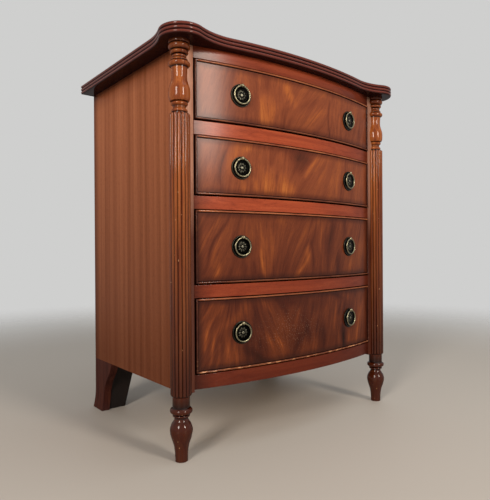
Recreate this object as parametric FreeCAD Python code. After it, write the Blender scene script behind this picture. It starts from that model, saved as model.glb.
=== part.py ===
"""Bow front chest of drawers: four drawers between reeded three-quarter columns.

Millimetres, +Z up. The origin is the middle of the footprint, on the floor; the front faces -Y.
Each sub-part is written to parts/NAME.step, in place and at real size.
"""
import FreeCAD, Part
import math
import os

V = FreeCAD.Vector
ORIGIN = V(0, 0, 0)

# ---- Driving dimensions: the carcase ----
HEIGHT = 773.4
TOP_THICKNESS = 20.6
CARCASE_TOP = HEIGHT - TOP_THICKNESS
CARCASE_BOTTOM = 117.2
BACK_Y = 228.0             # plane of the back
FACE_Y = -180.5            # plane of the posts' faces, where the bow starts and ends
SIDE_X = 275.7             # outer face of a side panel
PANEL_THICKNESS = 18.0
PANEL_INNER_X = SIDE_X - PANEL_THICKNESS
POST_DEPTH = 17.0
POST_BACK_Y = FACE_Y + POST_DEPTH
BACK_THICKNESS = 6.0
REBATE_WIDTH = 8.0

# ---- Driving dimensions: the bowed front ----
BOW_RADIUS = 1100.0
OPENING_HALF = 253.9       # half the clear width between the posts
BOW_AXIS_Y = FACE_Y + math.sqrt(BOW_RADIUS**2 - OPENING_HALF**2)
# Bottom and top of each drawer opening, from the uppermost down: two shallow, two deep.
OPENINGS = ((616.5, 730.3), (478.2, 590.7), (313.6, 453.7), (148.4, 289.8))
DEEP = 130.0               # a drawer in an opening higher than this has four dovetails, not three
BOTTOM_RAIL_BOTTOM = 121.9 # the bottom rail ends a little above the side panels
RAIL_BACK_Y = -140.0
TENON_LENGTH = 14.0
TENON_THICKNESS = 8.0
TENON_SHOULDER = 5.0       # left above and below a tenon

# ---- Driving dimensions: the top ----
TOP_FRONT_Y = -228.0
TOP_BOW_RADIUS = 1150.0
TOP_SIDE_X = 306.0
TURRET_X = 279.5
TURRET_Y = -184.0
TURRET_RADIUS = 41.0
SIDE_SWEEP = 60.0          # hollow curve from the side into the turret
FRONT_SWEEP = 69.0         # hollow curve from the turret into the bow
REEDS_ON_EDGE = 3
EDGE_ROUND = 2.7           # rounding that gives each reed of the edge its half-round nose

# ---- Driving dimensions: columns with their turned feet ----
COLUMN_X = 282.8
COLUMN_Y = -179.5
SHAFT_BOTTOM = 116.4
SHAFT_TOP = 623.4
SHAFT_RADIUS = 19.2        # over the crests of the reeds
VALLEY_RADIUS = 17.0
SHAFT_REEDS = 16

# ---- Driving dimensions: rear feet ----
FOOT_TOP_FRONT_Y = 137.8   # front edge of a foot where it meets the side panel
FOOT_KNEE = 112.8          # height where that edge starts to curve
FLARE = 6.0                # how far the foot kicks out at the floor
FLARE_HEIGHT = 45.0
RETURN_FRONT_Y = 181.0
RETURN_THICKNESS = 18.0
RETURN_TOP_X = 190.0
RETURN_TOE_X = 221.0
BLOCK_WIDTH = 22.0
BLOCK_LIFT = 20.0

# ---- Driving dimensions: runners and rear rails ----
RUNNER_WIDTH = 20.0
RUNNER_DEPTH = 16.0
GUIDE_HEIGHT = 14.0
REAR_RAIL_DEPTH = 24.0
REAR_RAIL_HEIGHT = 28.0
REAR_RAIL_BACK_Y = BACK_Y - BACK_THICKNESS
REAR_RAIL_FRONT_Y = REAR_RAIL_BACK_Y - REAR_RAIL_DEPTH

# ---- Driving dimensions: drawers ----
SIDE_GAP = 2.1             # between a drawer and the posts
TOP_GAP = 1.6              # above a drawer front
BOTTOM_GAP = 2.7           # below a drawer front
DRAWER_HALF = OPENING_HALF - SIDE_GAP
FRONT_THICKNESS = 22.0
BEAD_WIDTH = 3.5
BEAD_PROUD = 3.0
BEAD_DEPTH = 9.0
BEAD_ROUND = 1.4
DRAWER_SIDE_THICKNESS = 10.0
RUNNING_CLEARANCE = 0.4    # under the drawer sides
SIDE_DROP = 5.0            # drawer sides stop this far below the opening's top
DRAWER_END_Y = 185.0
DRAWER_BACK_THICKNESS = 10.0
DRAWER_BACK_INSET = 2.0
BOTTOM_THICKNESS = 5.0
BOTTOM_RISE = 9.0
GROOVE_DEPTH = 5.0
TAIL_END_Y = -171.0        # how far the dovetails reach into a drawer front
TAIL_SPLAY = 2.2
TAIL_SHARE = 0.30          # half width of a tail's root, as a share of the pitch

# ---- Driving dimensions: ring pulls ----
PULL_X = 157.6
PLATE_RADIUS = 22.0
RING_RADIUS = 16.8         # to the middle of the wire
WIRE_RADIUS = 1.45
RING_OUT = 6.5             # from the wood to the plane of the ring
RING_GAP_DEG = 17.0        # half the gap in the ring where the knuckle sits
PIVOT_RISE = 17.9
KNUCKLE_RADIUS = 3.6
PIN_RADIUS = 1.0
PIN_CLEARANCE = 0.05
SHANK_RADIUS = 1.7
NUT_ACROSS_FLATS = 6.5
NUT_THICKNESS = 3.0

# ---- Driving dimensions: back panel screws ----
SCREW_SHANK = 1.5
SCREW_HEAD = 3.2
SCREW_LENGTH = 20.0
SCREW_HEIGHTS = (190.0, 330.0, 470.0, 610.0)
SCREW_COLUMN_X = PANEL_INNER_X + REBATE_WIDTH / 2
SCREW_ROW_X = (70.0, 210.0)


# ---- Helpers ----
def box(x0, x1, y0, y1, z0, z1):
    return Part.makeBox(x1 - x0, y1 - y0, z1 - z0, V(x0, y0, z0))


def mirrored(shape):
    """The same shape on the other side of the chest."""
    return shape.mirror(ORIGIN, V(1, 0, 0))


def plate(points, thickness_vector):
    """A flat board from its outline, which may hold a list of points as one smooth curve."""
    edges = []
    pen = points[0]
    for item in points[1:] + [points[0]]:
        if isinstance(item, list):
            curve = Part.BSplineCurve()
            curve.interpolate([pen] + item)
            edges.append(curve.toShape())
            pen = item[-1]
        else:
            edges.append(Part.makeLine(pen, item))
            pen = item
    return Part.Face(Part.Wire(edges)).extrude(thickness_vector)


def bulged_arc(start, end, bulge):
    """Arc from start to end in the XZ plane that stands out from the line between them."""
    run = end - start
    outwards = V(run.z, 0, -run.x).normalize()
    middle = (start + end) * 0.5 + outwards * bulge
    return Part.Arc(start, middle, end).toShape()


def turned(start, steps):
    """Turning about the Z axis, from its lower outer edge up to the axis.

    A step is (r, z) for a straight cut, (r, z, bulge) for a bead or, when negative, a cove,
    and a list of (r, z) for one flowing curve.
    """
    pen = V(start[0], 0, start[1])
    edges = [Part.makeLine(V(0, 0, pen.z), pen)]
    for step in steps:
        if isinstance(step, list):
            points = [V(r, 0, z) for r, z in step]
            curve = Part.BSplineCurve()
            curve.interpolate([pen] + points)
            edges.append(curve.toShape())
            pen = points[-1]
            continue
        target = V(step[0], 0, step[1])
        edges.append(bulged_arc(pen, target, step[2]) if len(step) == 3 else Part.makeLine(pen, target))
        pen = target
    if pen.x > 0:
        edges.append(Part.makeLine(pen, V(0, 0, pen.z)))
    edges.append(Part.makeLine(V(0, 0, pen.z), V(0, 0, start[1])))
    return Part.Face(Part.Wire(edges)).revolve(ORIGIN, V(0, 0, 1), 360)


def bow_y(x, depth=0.0):
    """Y of the surface that lies this deep behind the bowed face."""
    return BOW_AXIS_Y - math.sqrt((BOW_RADIUS - depth) ** 2 - x**2)


def bowed(blank, front_depth, back_depth=None):
    """Cut a blank to the bow in front and, if it is given, to a parallel bow behind."""
    bounds = blank.BoundBox
    base = V(0, BOW_AXIS_Y, bounds.ZMin)
    shape = blank.common(Part.makeCylinder(BOW_RADIUS - front_depth, bounds.ZLength, base))
    if back_depth is not None:
        shape = shape.cut(Part.makeCylinder(BOW_RADIUS - back_depth, bounds.ZLength, base))
    return shape


# ---- The top board ----
def circles_meet(c1, r1, c2, r2):
    """The more forward of the two points where two circles cross."""
    span = c2 - c1
    d = span.Length
    along = (d**2 + r1**2 - r2**2) / (2 * d)
    aside = math.sqrt(r1**2 - along**2)
    foot = c1 + span * (along / d)
    across = V(-span.y, span.x, 0) * (aside / d)
    return min(foot + across, foot - across, key=lambda p: p.y)


def arc_about(centre, start, end):
    """The shorter arc from start to end about a centre."""
    middle = (start - centre) + (end - centre)
    return Part.Arc(start, centre + middle.normalize() * (start - centre).Length, end).toShape()


def top_outline():
    turret = V(-TURRET_X, TURRET_Y, 0)
    side_reach = TURRET_RADIUS + SIDE_SWEEP
    side_aside = TOP_SIDE_X + SIDE_SWEEP - TURRET_X
    side_centre = turret + V(-side_aside, math.sqrt(side_reach**2 - side_aside**2), 0)
    bow_centre = V(0, TOP_FRONT_Y + TOP_BOW_RADIUS, 0)
    front_reach = TURRET_RADIUS + FRONT_SWEEP
    front_centre = circles_meet(turret, front_reach, bow_centre, TOP_BOW_RADIUS + FRONT_SWEEP)

    rear_corner = V(-TOP_SIDE_X, BACK_Y, 0)
    side_end = V(-TOP_SIDE_X, side_centre.y, 0)
    turret_start = turret + (side_centre - turret) * (TURRET_RADIUS / side_reach)
    turret_end = turret + (front_centre - turret) * (TURRET_RADIUS / front_reach)
    bow_end = bow_centre + (front_centre - bow_centre) * (TOP_BOW_RADIUS / (TOP_BOW_RADIUS + FRONT_SWEEP))

    left = [
        Part.makeLine(rear_corner, side_end),
        arc_about(side_centre, side_end, turret_start),
        arc_about(turret, turret_start, turret_end),
        arc_about(front_centre, turret_end, bow_end),
    ]
    right = [mirrored(edge) for edge in left]
    bow = Part.Arc(bow_end, V(0, TOP_FRONT_Y, 0), V(-bow_end.x, bow_end.y, 0)).toShape()
    back = Part.makeLine(V(TOP_SIDE_X, BACK_Y, 0), rear_corner)
    return Part.Wire(Part.__sortEdges__(left + [bow] + right + [back]))


def top_board():
    """Three layers with rounded noses make the triple-reeded edge; the back stays square."""
    face = Part.Face(top_outline())
    layer_height = TOP_THICKNESS / REEDS_ON_EDGE
    layers = []
    for index in range(REEDS_ON_EDGE):
        layer = face.extrude(V(0, 0, layer_height))
        noses = [
            edge
            for edge in layer.Edges
            if edge.BoundBox.ZLength < 1e-6 and edge.BoundBox.YMin < BACK_Y - 1
        ]
        layer = layer.makeFillet(EDGE_ROUND, noses)
        layer.translate(V(0, 0, CARCASE_TOP + index * layer_height))
        layers.append(layer)
    return layers[0].fuse(layers[1:]).removeSplitter()


# ---- Columns ----
def reeded_shaft():
    half_pitch = math.pi / SHAFT_REEDS
    edges = []
    for index in range(SHAFT_REEDS):
        crest = 2 * half_pitch * index
        start, middle, end = (
            V(radius * math.cos(angle), radius * math.sin(angle), SHAFT_BOTTOM)
            for radius, angle in (
                (VALLEY_RADIUS, crest - half_pitch),
                (SHAFT_RADIUS, crest),
                (VALLEY_RADIUS, crest + half_pitch),
            )
        )
        edges.append(Part.Arc(start, middle, end).toShape())
    return Part.Face(Part.Wire(edges)).extrude(V(0, 0, SHAFT_TOP - SHAFT_BOTTOM))


def turned_foot():
    """From the floor up: tapered stem, bulb, small bead, ring and plain neck."""
    stem = [(11.9, 14.0), (12.8, 23.0), (14.6, 31.6)]
    bulb = [(18.5, 43.5), (20.7, 55.4), (18.4, 65.6), (13.4, 73.6), (11.7, 79.0)]
    return turned(
        (10.8, 0.0),
        [
            (11.5, 1.2),
            stem + bulb,
            (13.4, 79.8),
            (13.9, 84.4, 2.1),
            (15.6, 85.2),
            (16.4, 96.4, 4.3),
            (15.7, 97.2),
            (15.7, SHAFT_BOTTOM),
        ],
    )


def turned_head():
    """From the reeds up: bead, cove, thin ring, vase, skirt, bead, broad ring and square fillet."""
    belly = [(19.2, 649.6), (19.7, 657.6), (19.1, 666.8), (16.6, 674.8)]
    return turned(
        (13.4, SHAFT_TOP),
        [
            (13.4, 624.6),
            (12.8, 630.8, 1.7),
            (14.2, 637.8, -1.8),
            (14.5, 642.4, 1.0),
            (14.3, 643.6),
            (17.2, 644.8),
            belly + [(14.5, 683.6), (14.2, 692.0), (15.0, 703.8)],
            (18.9, 706.2),
            (19.7, 708.6),
            [(19.1, 712.0), (16.1, 717.8), (13.4, 722.8), (12.1, 725.6)],
            (12.1, 727.2),
            (13.4, 727.6),
            (13.4, 733.0, 3.1),
            (15.6, 733.8),
            (17.2, 734.6),
            (17.4, 745.6, 2.8),
            (16.8, 746.4),
            (17.8, 747.2),
            (19.4, 748.8, 0.4),
            (19.4, CARCASE_TOP),
        ],
    )


def left_column():
    """Turned in one piece with its foot; a quarter is cut away to seat it on the carcase corner."""
    column = turned_foot().fuse([reeded_shaft(), turned_head()])
    column.translate(V(-COLUMN_X, COLUMN_Y, 0))
    corner = box(-SIDE_X, 0, FACE_Y, 0, CARCASE_BOTTOM, CARCASE_TOP)
    return column.cut(corner).removeSplitter()


# ---- Carcase boards ----
def bowed_rail(z0, z1):
    """Rail with a bowed front, which widens behind the posts and has a tenon into each."""
    front = bowed(box(-OPENING_HALF, OPENING_HALF, TOP_FRONT_Y, POST_BACK_Y, z0, z1), 0.0)
    rear = box(-PANEL_INNER_X, PANEL_INNER_X, POST_BACK_Y, RAIL_BACK_Y, z0, z1)
    tenon_y = (FACE_Y + POST_BACK_Y - TENON_THICKNESS) / 2
    tenons = box(
        -OPENING_HALF - TENON_LENGTH,
        OPENING_HALF + TENON_LENGTH,
        tenon_y,
        tenon_y + TENON_THICKNESS,
        z0 + TENON_SHOULDER,
        z1 - TENON_SHOULDER,
    )
    return front.fuse([rear, tenons]).removeSplitter()


def rail_nodes():
    rails = {"top_rail": bowed_rail(OPENINGS[0][1], CARCASE_TOP)}
    for index, (above, below) in enumerate(zip(OPENINGS, OPENINGS[1:])):
        rails[f"divider_rail_{index + 1}"] = bowed_rail(below[1], above[0])
    rails["bottom_rail"] = bowed_rail(BOTTOM_RAIL_BOTTOM, OPENINGS[-1][0])
    return rails


def front_posts(rails):
    post = box(-SIDE_X, -OPENING_HALF, FACE_Y, POST_BACK_Y, CARCASE_BOTTOM, CARCASE_TOP).cut(rails)
    return [post, mirrored(post)]


def left_side_panel(screws):
    panel = box(-SIDE_X, -PANEL_INNER_X, POST_BACK_Y, BACK_Y, CARCASE_BOTTOM, CARCASE_TOP)
    rebate = box(
        -PANEL_INNER_X - REBATE_WIDTH,
        -PANEL_INNER_X,
        REAR_RAIL_BACK_Y,
        BACK_Y,
        CARCASE_BOTTOM,
        CARCASE_TOP,
    )
    return panel.cut([rebate] + screws)


def back_panel(screws):
    half = PANEL_INNER_X + REBATE_WIDTH
    return box(-half, half, REAR_RAIL_BACK_Y, BACK_Y, CARCASE_BOTTOM, CARCASE_TOP).cut(screws)


def rear_rails(screws):
    solids = []
    for bottom in (CARCASE_BOTTOM, CARCASE_TOP - REAR_RAIL_HEIGHT):
        rail = box(
            -PANEL_INNER_X,
            PANEL_INNER_X,
            REAR_RAIL_FRONT_Y,
            REAR_RAIL_BACK_Y,
            bottom,
            bottom + REAR_RAIL_HEIGHT,
        )
        solids.append(rail.cut(screws))
    return solids


def back_screw(x, z):
    """Countersunk screw, head flush with the back panel."""
    length = SCREW_LENGTH
    taper = SCREW_HEAD - SCREW_SHANK
    head = Part.makeCone(SCREW_HEAD, SCREW_SHANK, taper, V(x, BACK_Y, z), V(0, -1, 0))
    shank = Part.makeCylinder(SCREW_SHANK, length - taper, V(x, BACK_Y - taper, z), V(0, -1, 0))
    return head.fuse(shank).removeSplitter()


def back_screws():
    places = [(SCREW_COLUMN_X, z) for z in SCREW_HEIGHTS]
    row_heights = (CARCASE_BOTTOM + REAR_RAIL_HEIGHT / 2, CARCASE_TOP - REAR_RAIL_HEIGHT / 2)
    places += [(x, z) for x in SCREW_ROW_X for z in row_heights]
    return [back_screw(sign * x, z) for x, z in places for sign in (-1, 1)]


def drawer_runners():
    """An L-shaped strip under each end of each drawer: it carries the drawer and guides it."""
    solids = []
    for bottom, _top in OPENINGS:
        section = [
            V(-PANEL_INNER_X, RAIL_BACK_Y, bottom - RUNNER_DEPTH),
            V(-PANEL_INNER_X + RUNNER_WIDTH, RAIL_BACK_Y, bottom - RUNNER_DEPTH),
            V(-PANEL_INNER_X + RUNNER_WIDTH, RAIL_BACK_Y, bottom),
            V(-OPENING_HALF, RAIL_BACK_Y, bottom),
            V(-OPENING_HALF, RAIL_BACK_Y, bottom + GUIDE_HEIGHT),
            V(-PANEL_INNER_X, RAIL_BACK_Y, bottom + GUIDE_HEIGHT),
        ]
        runner = plate(section, V(0, REAR_RAIL_FRONT_Y - RAIL_BACK_Y, 0))
        solids += [runner, mirrored(runner)]
    return solids


def top_kickers():
    """Strips above the uppermost drawer that keep it from tipping as it is drawn out."""
    kicker = box(
        -PANEL_INNER_X,
        -PANEL_INNER_X + RUNNER_WIDTH,
        RAIL_BACK_Y,
        REAR_RAIL_FRONT_Y,
        OPENINGS[0][1],
        CARCASE_TOP,
    )
    return [kicker, mirrored(kicker)]


# ---- Rear feet ----
def left_foot_side():
    """Splayed bracket: an S-curved front edge, and an outer face that kicks out at the floor."""
    profile = plate(
        [
            V(-SIDE_X - FLARE, BACK_Y, 0),
            V(-SIDE_X - FLARE, BACK_Y, CARCASE_BOTTOM),
            V(-SIDE_X - FLARE, FOOT_TOP_FRONT_Y, CARCASE_BOTTOM),
            V(-SIDE_X - FLARE, FOOT_TOP_FRONT_Y, FOOT_KNEE),
            [
                V(-SIDE_X - FLARE, y, z)
                for y, z in ((143.0, 101.3), (157.6, 80.9), (174.0, 56.2), (179.4, 30.8), (176.2, 0.0))
            ],
        ],
        V(PANEL_THICKNESS + FLARE, 0, 0),
    )
    kick = V(-FLARE, 0, -FLARE_HEIGHT)
    outer_bend = V(-SIDE_X, FOOT_TOP_FRONT_Y, FLARE_HEIGHT)
    inner_bend = outer_bend + V(PANEL_THICKNESS, 0, 0)
    # A quarter of the kick halfway down keeps the curve tangent to the upright face above it.
    halfway = V(-FLARE / 4, 0, -FLARE_HEIGHT / 2)
    section = Part.Wire(
        [
            Part.makeLine(V(-SIDE_X, FOOT_TOP_FRONT_Y, CARCASE_BOTTOM), outer_bend),
            Part.Arc(outer_bend, outer_bend + halfway, outer_bend + kick).toShape(),
            Part.makeLine(outer_bend + kick, inner_bend + kick),
            Part.Arc(inner_bend + kick, inner_bend + halfway, inner_bend).toShape(),
            Part.makeLine(inner_bend, V(-PANEL_INNER_X, FOOT_TOP_FRONT_Y, CARCASE_BOTTOM)),
            Part.makeLine(
                V(-PANEL_INNER_X, FOOT_TOP_FRONT_Y, CARCASE_BOTTOM),
                V(-SIDE_X, FOOT_TOP_FRONT_Y, CARCASE_BOTTOM),
            ),
        ]
    )
    return profile.common(Part.Face(section).extrude(V(0, BACK_Y - FOOT_TOP_FRONT_Y, 0)))


def left_foot_return(side):
    """Board square to the side bracket, with a straight slanted inner edge."""
    board = plate(
        [
            V(-SIDE_X, RETURN_FRONT_Y, 0),
            V(-RETURN_TOE_X, RETURN_FRONT_Y, 0),
            V(-RETURN_TOP_X, RETURN_FRONT_Y, CARCASE_BOTTOM),
            V(-PANEL_INNER_X, RETURN_FRONT_Y, CARCASE_BOTTOM),
            V(-PANEL_INNER_X, RETURN_FRONT_Y, FLARE_HEIGHT),
            V(-SIDE_X, RETURN_FRONT_Y, FLARE_HEIGHT / 2),
        ],
        V(0, RETURN_THICKNESS, 0),
    )
    return board.cut(side)


def left_foot_block():
    block = box(
        -PANEL_INNER_X,
        -PANEL_INNER_X + BLOCK_WIDTH,
        RETURN_FRONT_Y + RETURN_THICKNESS,
        REAR_RAIL_BACK_Y,
        BLOCK_LIFT,
        CARCASE_BOTTOM,
    )
    return block


# ---- Drawers ----
def bead_frame(z0, z1):
    """Square-edged frame let into the edges of a drawer front and standing proud of it."""
    outer = bowed(box(-DRAWER_HALF, DRAWER_HALF, TOP_FRONT_Y, POST_BACK_Y, z0, z1), -BEAD_PROUD, BEAD_DEPTH)
    inner_half = DRAWER_HALF - BEAD_WIDTH
    return outer.cut(
        box(-inner_half, inner_half, TOP_FRONT_Y - BEAD_PROUD, BACK_Y, z0 + BEAD_WIDTH, z1 - BEAD_WIDTH)
    )


def rounded_bead(frame):
    """Round over the two edges of the frame's face, inner and outer."""
    face_radius = BOW_RADIUS + BEAD_PROUD

    def on_face(edge):
        middle = edge.valueAt((edge.FirstParameter + edge.LastParameter) / 2)
        points = [vertex.Point for vertex in edge.Vertexes] + [middle]
        return all(abs(math.hypot(p.x, p.y - BOW_AXIS_Y) - face_radius) < 1e-3 for p in points)

    return frame.makeFillet(BEAD_ROUND, [edge for edge in frame.Edges if on_face(edge)])


def left_tails(z0, z1, count):
    """Dovetails on the front end of a drawer side, widest where they end inside the front."""
    pitch = (z1 - z0) / count
    root = TAIL_SHARE * pitch
    root_y = bow_y(DRAWER_HALF, FRONT_THICKNESS)
    # Carried on behind the shoulder at the root's width, so that tail and side fuse.
    heel_y = root_y + DRAWER_SIDE_THICKNESS
    tails = []
    for index in range(count):
        middle = z0 + pitch * (index + 0.5)
        outline = [
            V(-DRAWER_HALF, TAIL_END_Y, middle - root - TAIL_SPLAY),
            V(-DRAWER_HALF, root_y, middle - root),
            V(-DRAWER_HALF, heel_y, middle - root),
            V(-DRAWER_HALF, heel_y, middle + root),
            V(-DRAWER_HALF, root_y, middle + root),
            V(-DRAWER_HALF, TAIL_END_Y, middle + root + TAIL_SPLAY),
        ]
        tails.append(plate(outline, V(DRAWER_SIDE_THICKNESS, 0, 0)))
    return tails


def drawer_nodes(name, opening, tail_count):
    bottom, top = opening
    z0, z1 = bottom + BOTTOM_GAP, top - TOP_GAP
    side_z0, side_z1 = bottom + RUNNING_CLEARANCE, top - SIDE_DROP
    inner_x = DRAWER_HALF - DRAWER_SIDE_THICKNESS

    frame = bead_frame(z0, z1)
    blank = bowed(box(-DRAWER_HALF, DRAWER_HALF, TOP_FRONT_Y, 0, z0, z1), 0.0, FRONT_THICKNESS)
    blank = blank.cut(frame)

    floor_z = bottom + BOTTOM_RISE
    floor_half = inner_x + GROOVE_DEPTH
    floor = bowed(
        box(-floor_half, floor_half, TOP_FRONT_Y, DRAWER_END_Y, floor_z, floor_z + BOTTOM_THICKNESS),
        FRONT_THICKNESS - GROOVE_DEPTH,
    )

    back_y1 = DRAWER_END_Y - DRAWER_BACK_INSET
    back_half = inner_x + GROOVE_DEPTH
    back = box(
        -back_half,
        back_half,
        back_y1 - DRAWER_BACK_THICKNESS,
        back_y1,
        floor_z + BOTTOM_THICKNESS,
        side_z1,
    )

    tails = left_tails(side_z0, side_z1, tail_count)
    side = box(-DRAWER_HALF, -inner_x, TAIL_END_Y, DRAWER_END_Y, side_z0, side_z1)
    side = bowed(side, FRONT_THICKNESS).fuse(tails).cut([floor, back]).removeSplitter()
    right_side = mirrored(side)

    pulls = [pull(sign * PULL_X, (z0 + z1) / 2) for sign in (-1, 1)]
    holes = [shank for _plate, _post, _nut, _ring, shank in pulls]
    front = blank.cut([side, right_side, floor] + holes)

    nodes = {
        f"{name}_front": front,
        f"{name}_cock_bead": rounded_bead(frame),
        f"{name}_side_left": side,
        f"{name}_side_right": right_side,
        f"{name}_back": back,
        f"{name}_bottom": floor,
        f"{name}_pull_plates": [unit[0] for unit in pulls],
        f"{name}_pull_posts": [unit[1] for unit in pulls] + [unit[2] for unit in pulls],
    }
    for hand, unit in zip(("left", "right"), pulls):
        nodes[f"{name}_ring_{hand}"] = unit[3]
    return nodes


# ---- Ring pulls, drawn about the middle of the plate's back, facing -Y ----
def pull_plate():
    """Round backplate: rolled rim, dished groove, domed boss with a button."""
    turning = turned(
        (PLATE_RADIUS, 0.0),
        [
            (PLATE_RADIUS, 1.2),
            (19.6, 1.9, 1.0),
            (18.9, 1.1),
            (13.4, 1.1),
            (12.8, 3.6),
            (3.2, 4.7, 0.4),
            (2.9, 5.0),
            (1.7, 5.7, 0.25),
        ],
    )
    return turning.rotate(ORIGIN, V(1, 0, 0), 90)


def pull_ring():
    """Wire ring, open where the knuckle sits, with a short pin at each end on the pivot line."""
    gap = math.radians(RING_GAP_DEG)
    end = V(RING_RADIUS * math.sin(gap), -RING_OUT, RING_RADIUS * math.cos(gap))
    section = Part.Wire(Part.makeCircle(WIRE_RADIUS, end, V(math.cos(gap), 0, -math.sin(gap))))
    wire = Part.Face(section).revolve(V(0, -RING_OUT, 0), V(0, 1, 0), 360 - 2 * RING_GAP_DEG)
    pin_start = V(KNUCKLE_RADIUS / 4, -RING_OUT, PIVOT_RISE)
    pieces = []
    for sign in (-1, 1):
        # The sphere's poles lie along X, clear of the pin's flat end.
        pieces.append(Part.makeSphere(WIRE_RADIUS, V(sign * end.x, end.y, end.z), V(1, 0, 0)))
        start = V(sign * pin_start.x, pin_start.y, pin_start.z)
        pieces.append(Part.makeCylinder(PIN_RADIUS, end.x - pin_start.x, start, V(sign, 0, 0)))
    return wire.fuse(pieces).removeSplitter()


def pull(x, z):
    """One ring pull at its place on the bow: plate, post, nut, ring and the post's hole."""
    pivot = V(0, -RING_OUT, PIVOT_RISE)
    post_end = FRONT_THICKNESS + 2 * NUT_THICKNESS
    shank = Part.makeCylinder(SHANK_RADIUS, RING_OUT + post_end, pivot, V(0, 1, 0))
    nut_radius = NUT_ACROSS_FLATS / math.sqrt(3)
    # The back of a bowed front is hollow, so a nut seats on its two outermost corners.
    nut_seat = BOW_RADIUS - math.sqrt((BOW_RADIUS - FRONT_THICKNESS) ** 2 - nut_radius**2)
    nut_middle = V(0, nut_seat, PIVOT_RISE)
    turns = [math.radians(60 * index) for index in range(6)]
    corners = [nut_middle + V(math.cos(a), 0, math.sin(a)) * nut_radius for a in turns]
    nut = plate(corners, V(0, NUT_THICKNESS, 0)).cut(shank)
    bore_half = V(KNUCKLE_RADIUS, 0, 0)
    bore = Part.makeCylinder(PIN_RADIUS + PIN_CLEARANCE, 2 * KNUCKLE_RADIUS, pivot - bore_half, V(1, 0, 0))
    post = shank.fuse(Part.makeSphere(KNUCKLE_RADIUS, pivot)).cut(bore).removeSplitter()
    backplate = pull_plate().cut(shank)

    turn = math.degrees(math.asin(x / BOW_RADIUS))
    placed = []
    for shape in (backplate, post, nut, pull_ring(), shank):
        shape = shape.copy()
        shape.rotate(ORIGIN, V(0, 0, 1), turn)
        shape.translate(V(x, bow_y(x), z))
        placed.append(shape)
    return placed


# ---- The whole chest ----
def chest():
    screws = back_screws()
    rails = rail_nodes()
    panel = left_side_panel([screw for screw in screws if screw.BoundBox.XMax < 0])
    column = left_column()
    foot_side = left_foot_side()
    foot_return = left_foot_return(foot_side)
    foot_block = left_foot_block()
    nodes = {
        "top_board": top_board(),
        "side_panel_left": panel,
        "side_panel_right": mirrored(panel),
        "back_panel": back_panel(screws),
        "back_panel_screws": screws,
        "front_posts": front_posts(list(rails.values())),
        "column_left": column,
        "column_right": mirrored(column),
        "rear_rails": rear_rails(screws),
        "drawer_runners": drawer_runners(),
        "top_kickers": top_kickers(),
        "rear_foot_side_left": foot_side,
        "rear_foot_side_right": mirrored(foot_side),
        "rear_foot_returns": [foot_return, mirrored(foot_return)],
        "rear_foot_blocks": [foot_block, mirrored(foot_block)],
    }
    nodes.update(rails)
    for index, opening in enumerate(OPENINGS):
        tail_count = 3 if opening[1] - opening[0] < DEEP else 4
        nodes.update(drawer_nodes(f"drawer_{index + 1}", opening, tail_count))
    return nodes


def write(nodes):
    os.makedirs("parts", exist_ok=True)
    for name, shape in nodes.items():
        if isinstance(shape, list):
            shape = Part.makeCompound(shape)
        shape.exportStep(f"parts/{name}.step")


write(chest())
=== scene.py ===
"""Looks of the bow front chest of drawers: veneers, mouldings, turnings and ring pulls.

Metres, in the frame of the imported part: +Z up, the drawers face -Y.
"""
import math

import bmesh
import bpy
import numpy as np
from mathutils import Matrix, Vector


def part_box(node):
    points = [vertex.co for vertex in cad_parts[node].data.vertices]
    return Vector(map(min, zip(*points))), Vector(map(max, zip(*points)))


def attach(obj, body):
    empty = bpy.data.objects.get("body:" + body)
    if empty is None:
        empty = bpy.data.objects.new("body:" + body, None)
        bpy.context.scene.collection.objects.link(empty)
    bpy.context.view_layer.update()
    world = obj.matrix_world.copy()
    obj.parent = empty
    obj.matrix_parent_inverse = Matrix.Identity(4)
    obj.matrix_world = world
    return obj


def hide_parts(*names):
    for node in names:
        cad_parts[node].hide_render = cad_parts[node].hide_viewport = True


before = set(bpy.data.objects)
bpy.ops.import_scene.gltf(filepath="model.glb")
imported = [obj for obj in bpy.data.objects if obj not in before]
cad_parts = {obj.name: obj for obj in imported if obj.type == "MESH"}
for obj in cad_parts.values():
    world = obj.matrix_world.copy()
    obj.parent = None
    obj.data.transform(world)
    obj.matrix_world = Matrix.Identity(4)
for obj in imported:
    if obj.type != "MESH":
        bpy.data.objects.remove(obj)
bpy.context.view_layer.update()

MM = 0.001

# ---- Camera and studio ----
CAMERA_PLACE = Vector((-757.7, -956.4, 379.4)) * MM
CAMERA_YAW = math.radians(38.76)      # from +Y towards +X
CAMERA_PITCH = math.radians(-0.17)
CAMERA_ROLL = math.radians(-0.34)
CAMERA_LENS = 36.2
CAMERA_SHIFT = (0.0002, 0.0013)
BACKDROP = "#cfcfce"
FLOOR = "#c2bcb3"
AMBIENT = 0.15
FLOOR_FADE = (0.9, 2.6)               # where the floor starts and ends its fade into the backdrop

# ---- The carcase and the bow ----
BOW_RADIUS = 1100 * MM
BOW_AXIS_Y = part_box("top_rail")[0].y + BOW_RADIUS
CARCASE_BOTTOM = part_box("front_posts")[0].z
CARCASE_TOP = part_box("top_rail")[1].z
TOP_RAIL_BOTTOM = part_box("top_rail")[0].z
SIDE_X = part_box("side_panel_right")[1].x
FACE_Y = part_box("front_posts")[0].y
BACK_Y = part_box("back_panel")[1].y
WELD = 0.004 * MM
SMOOTH_ANGLE = math.radians(32)
EASED_EDGE = 0.7 * MM

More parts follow.
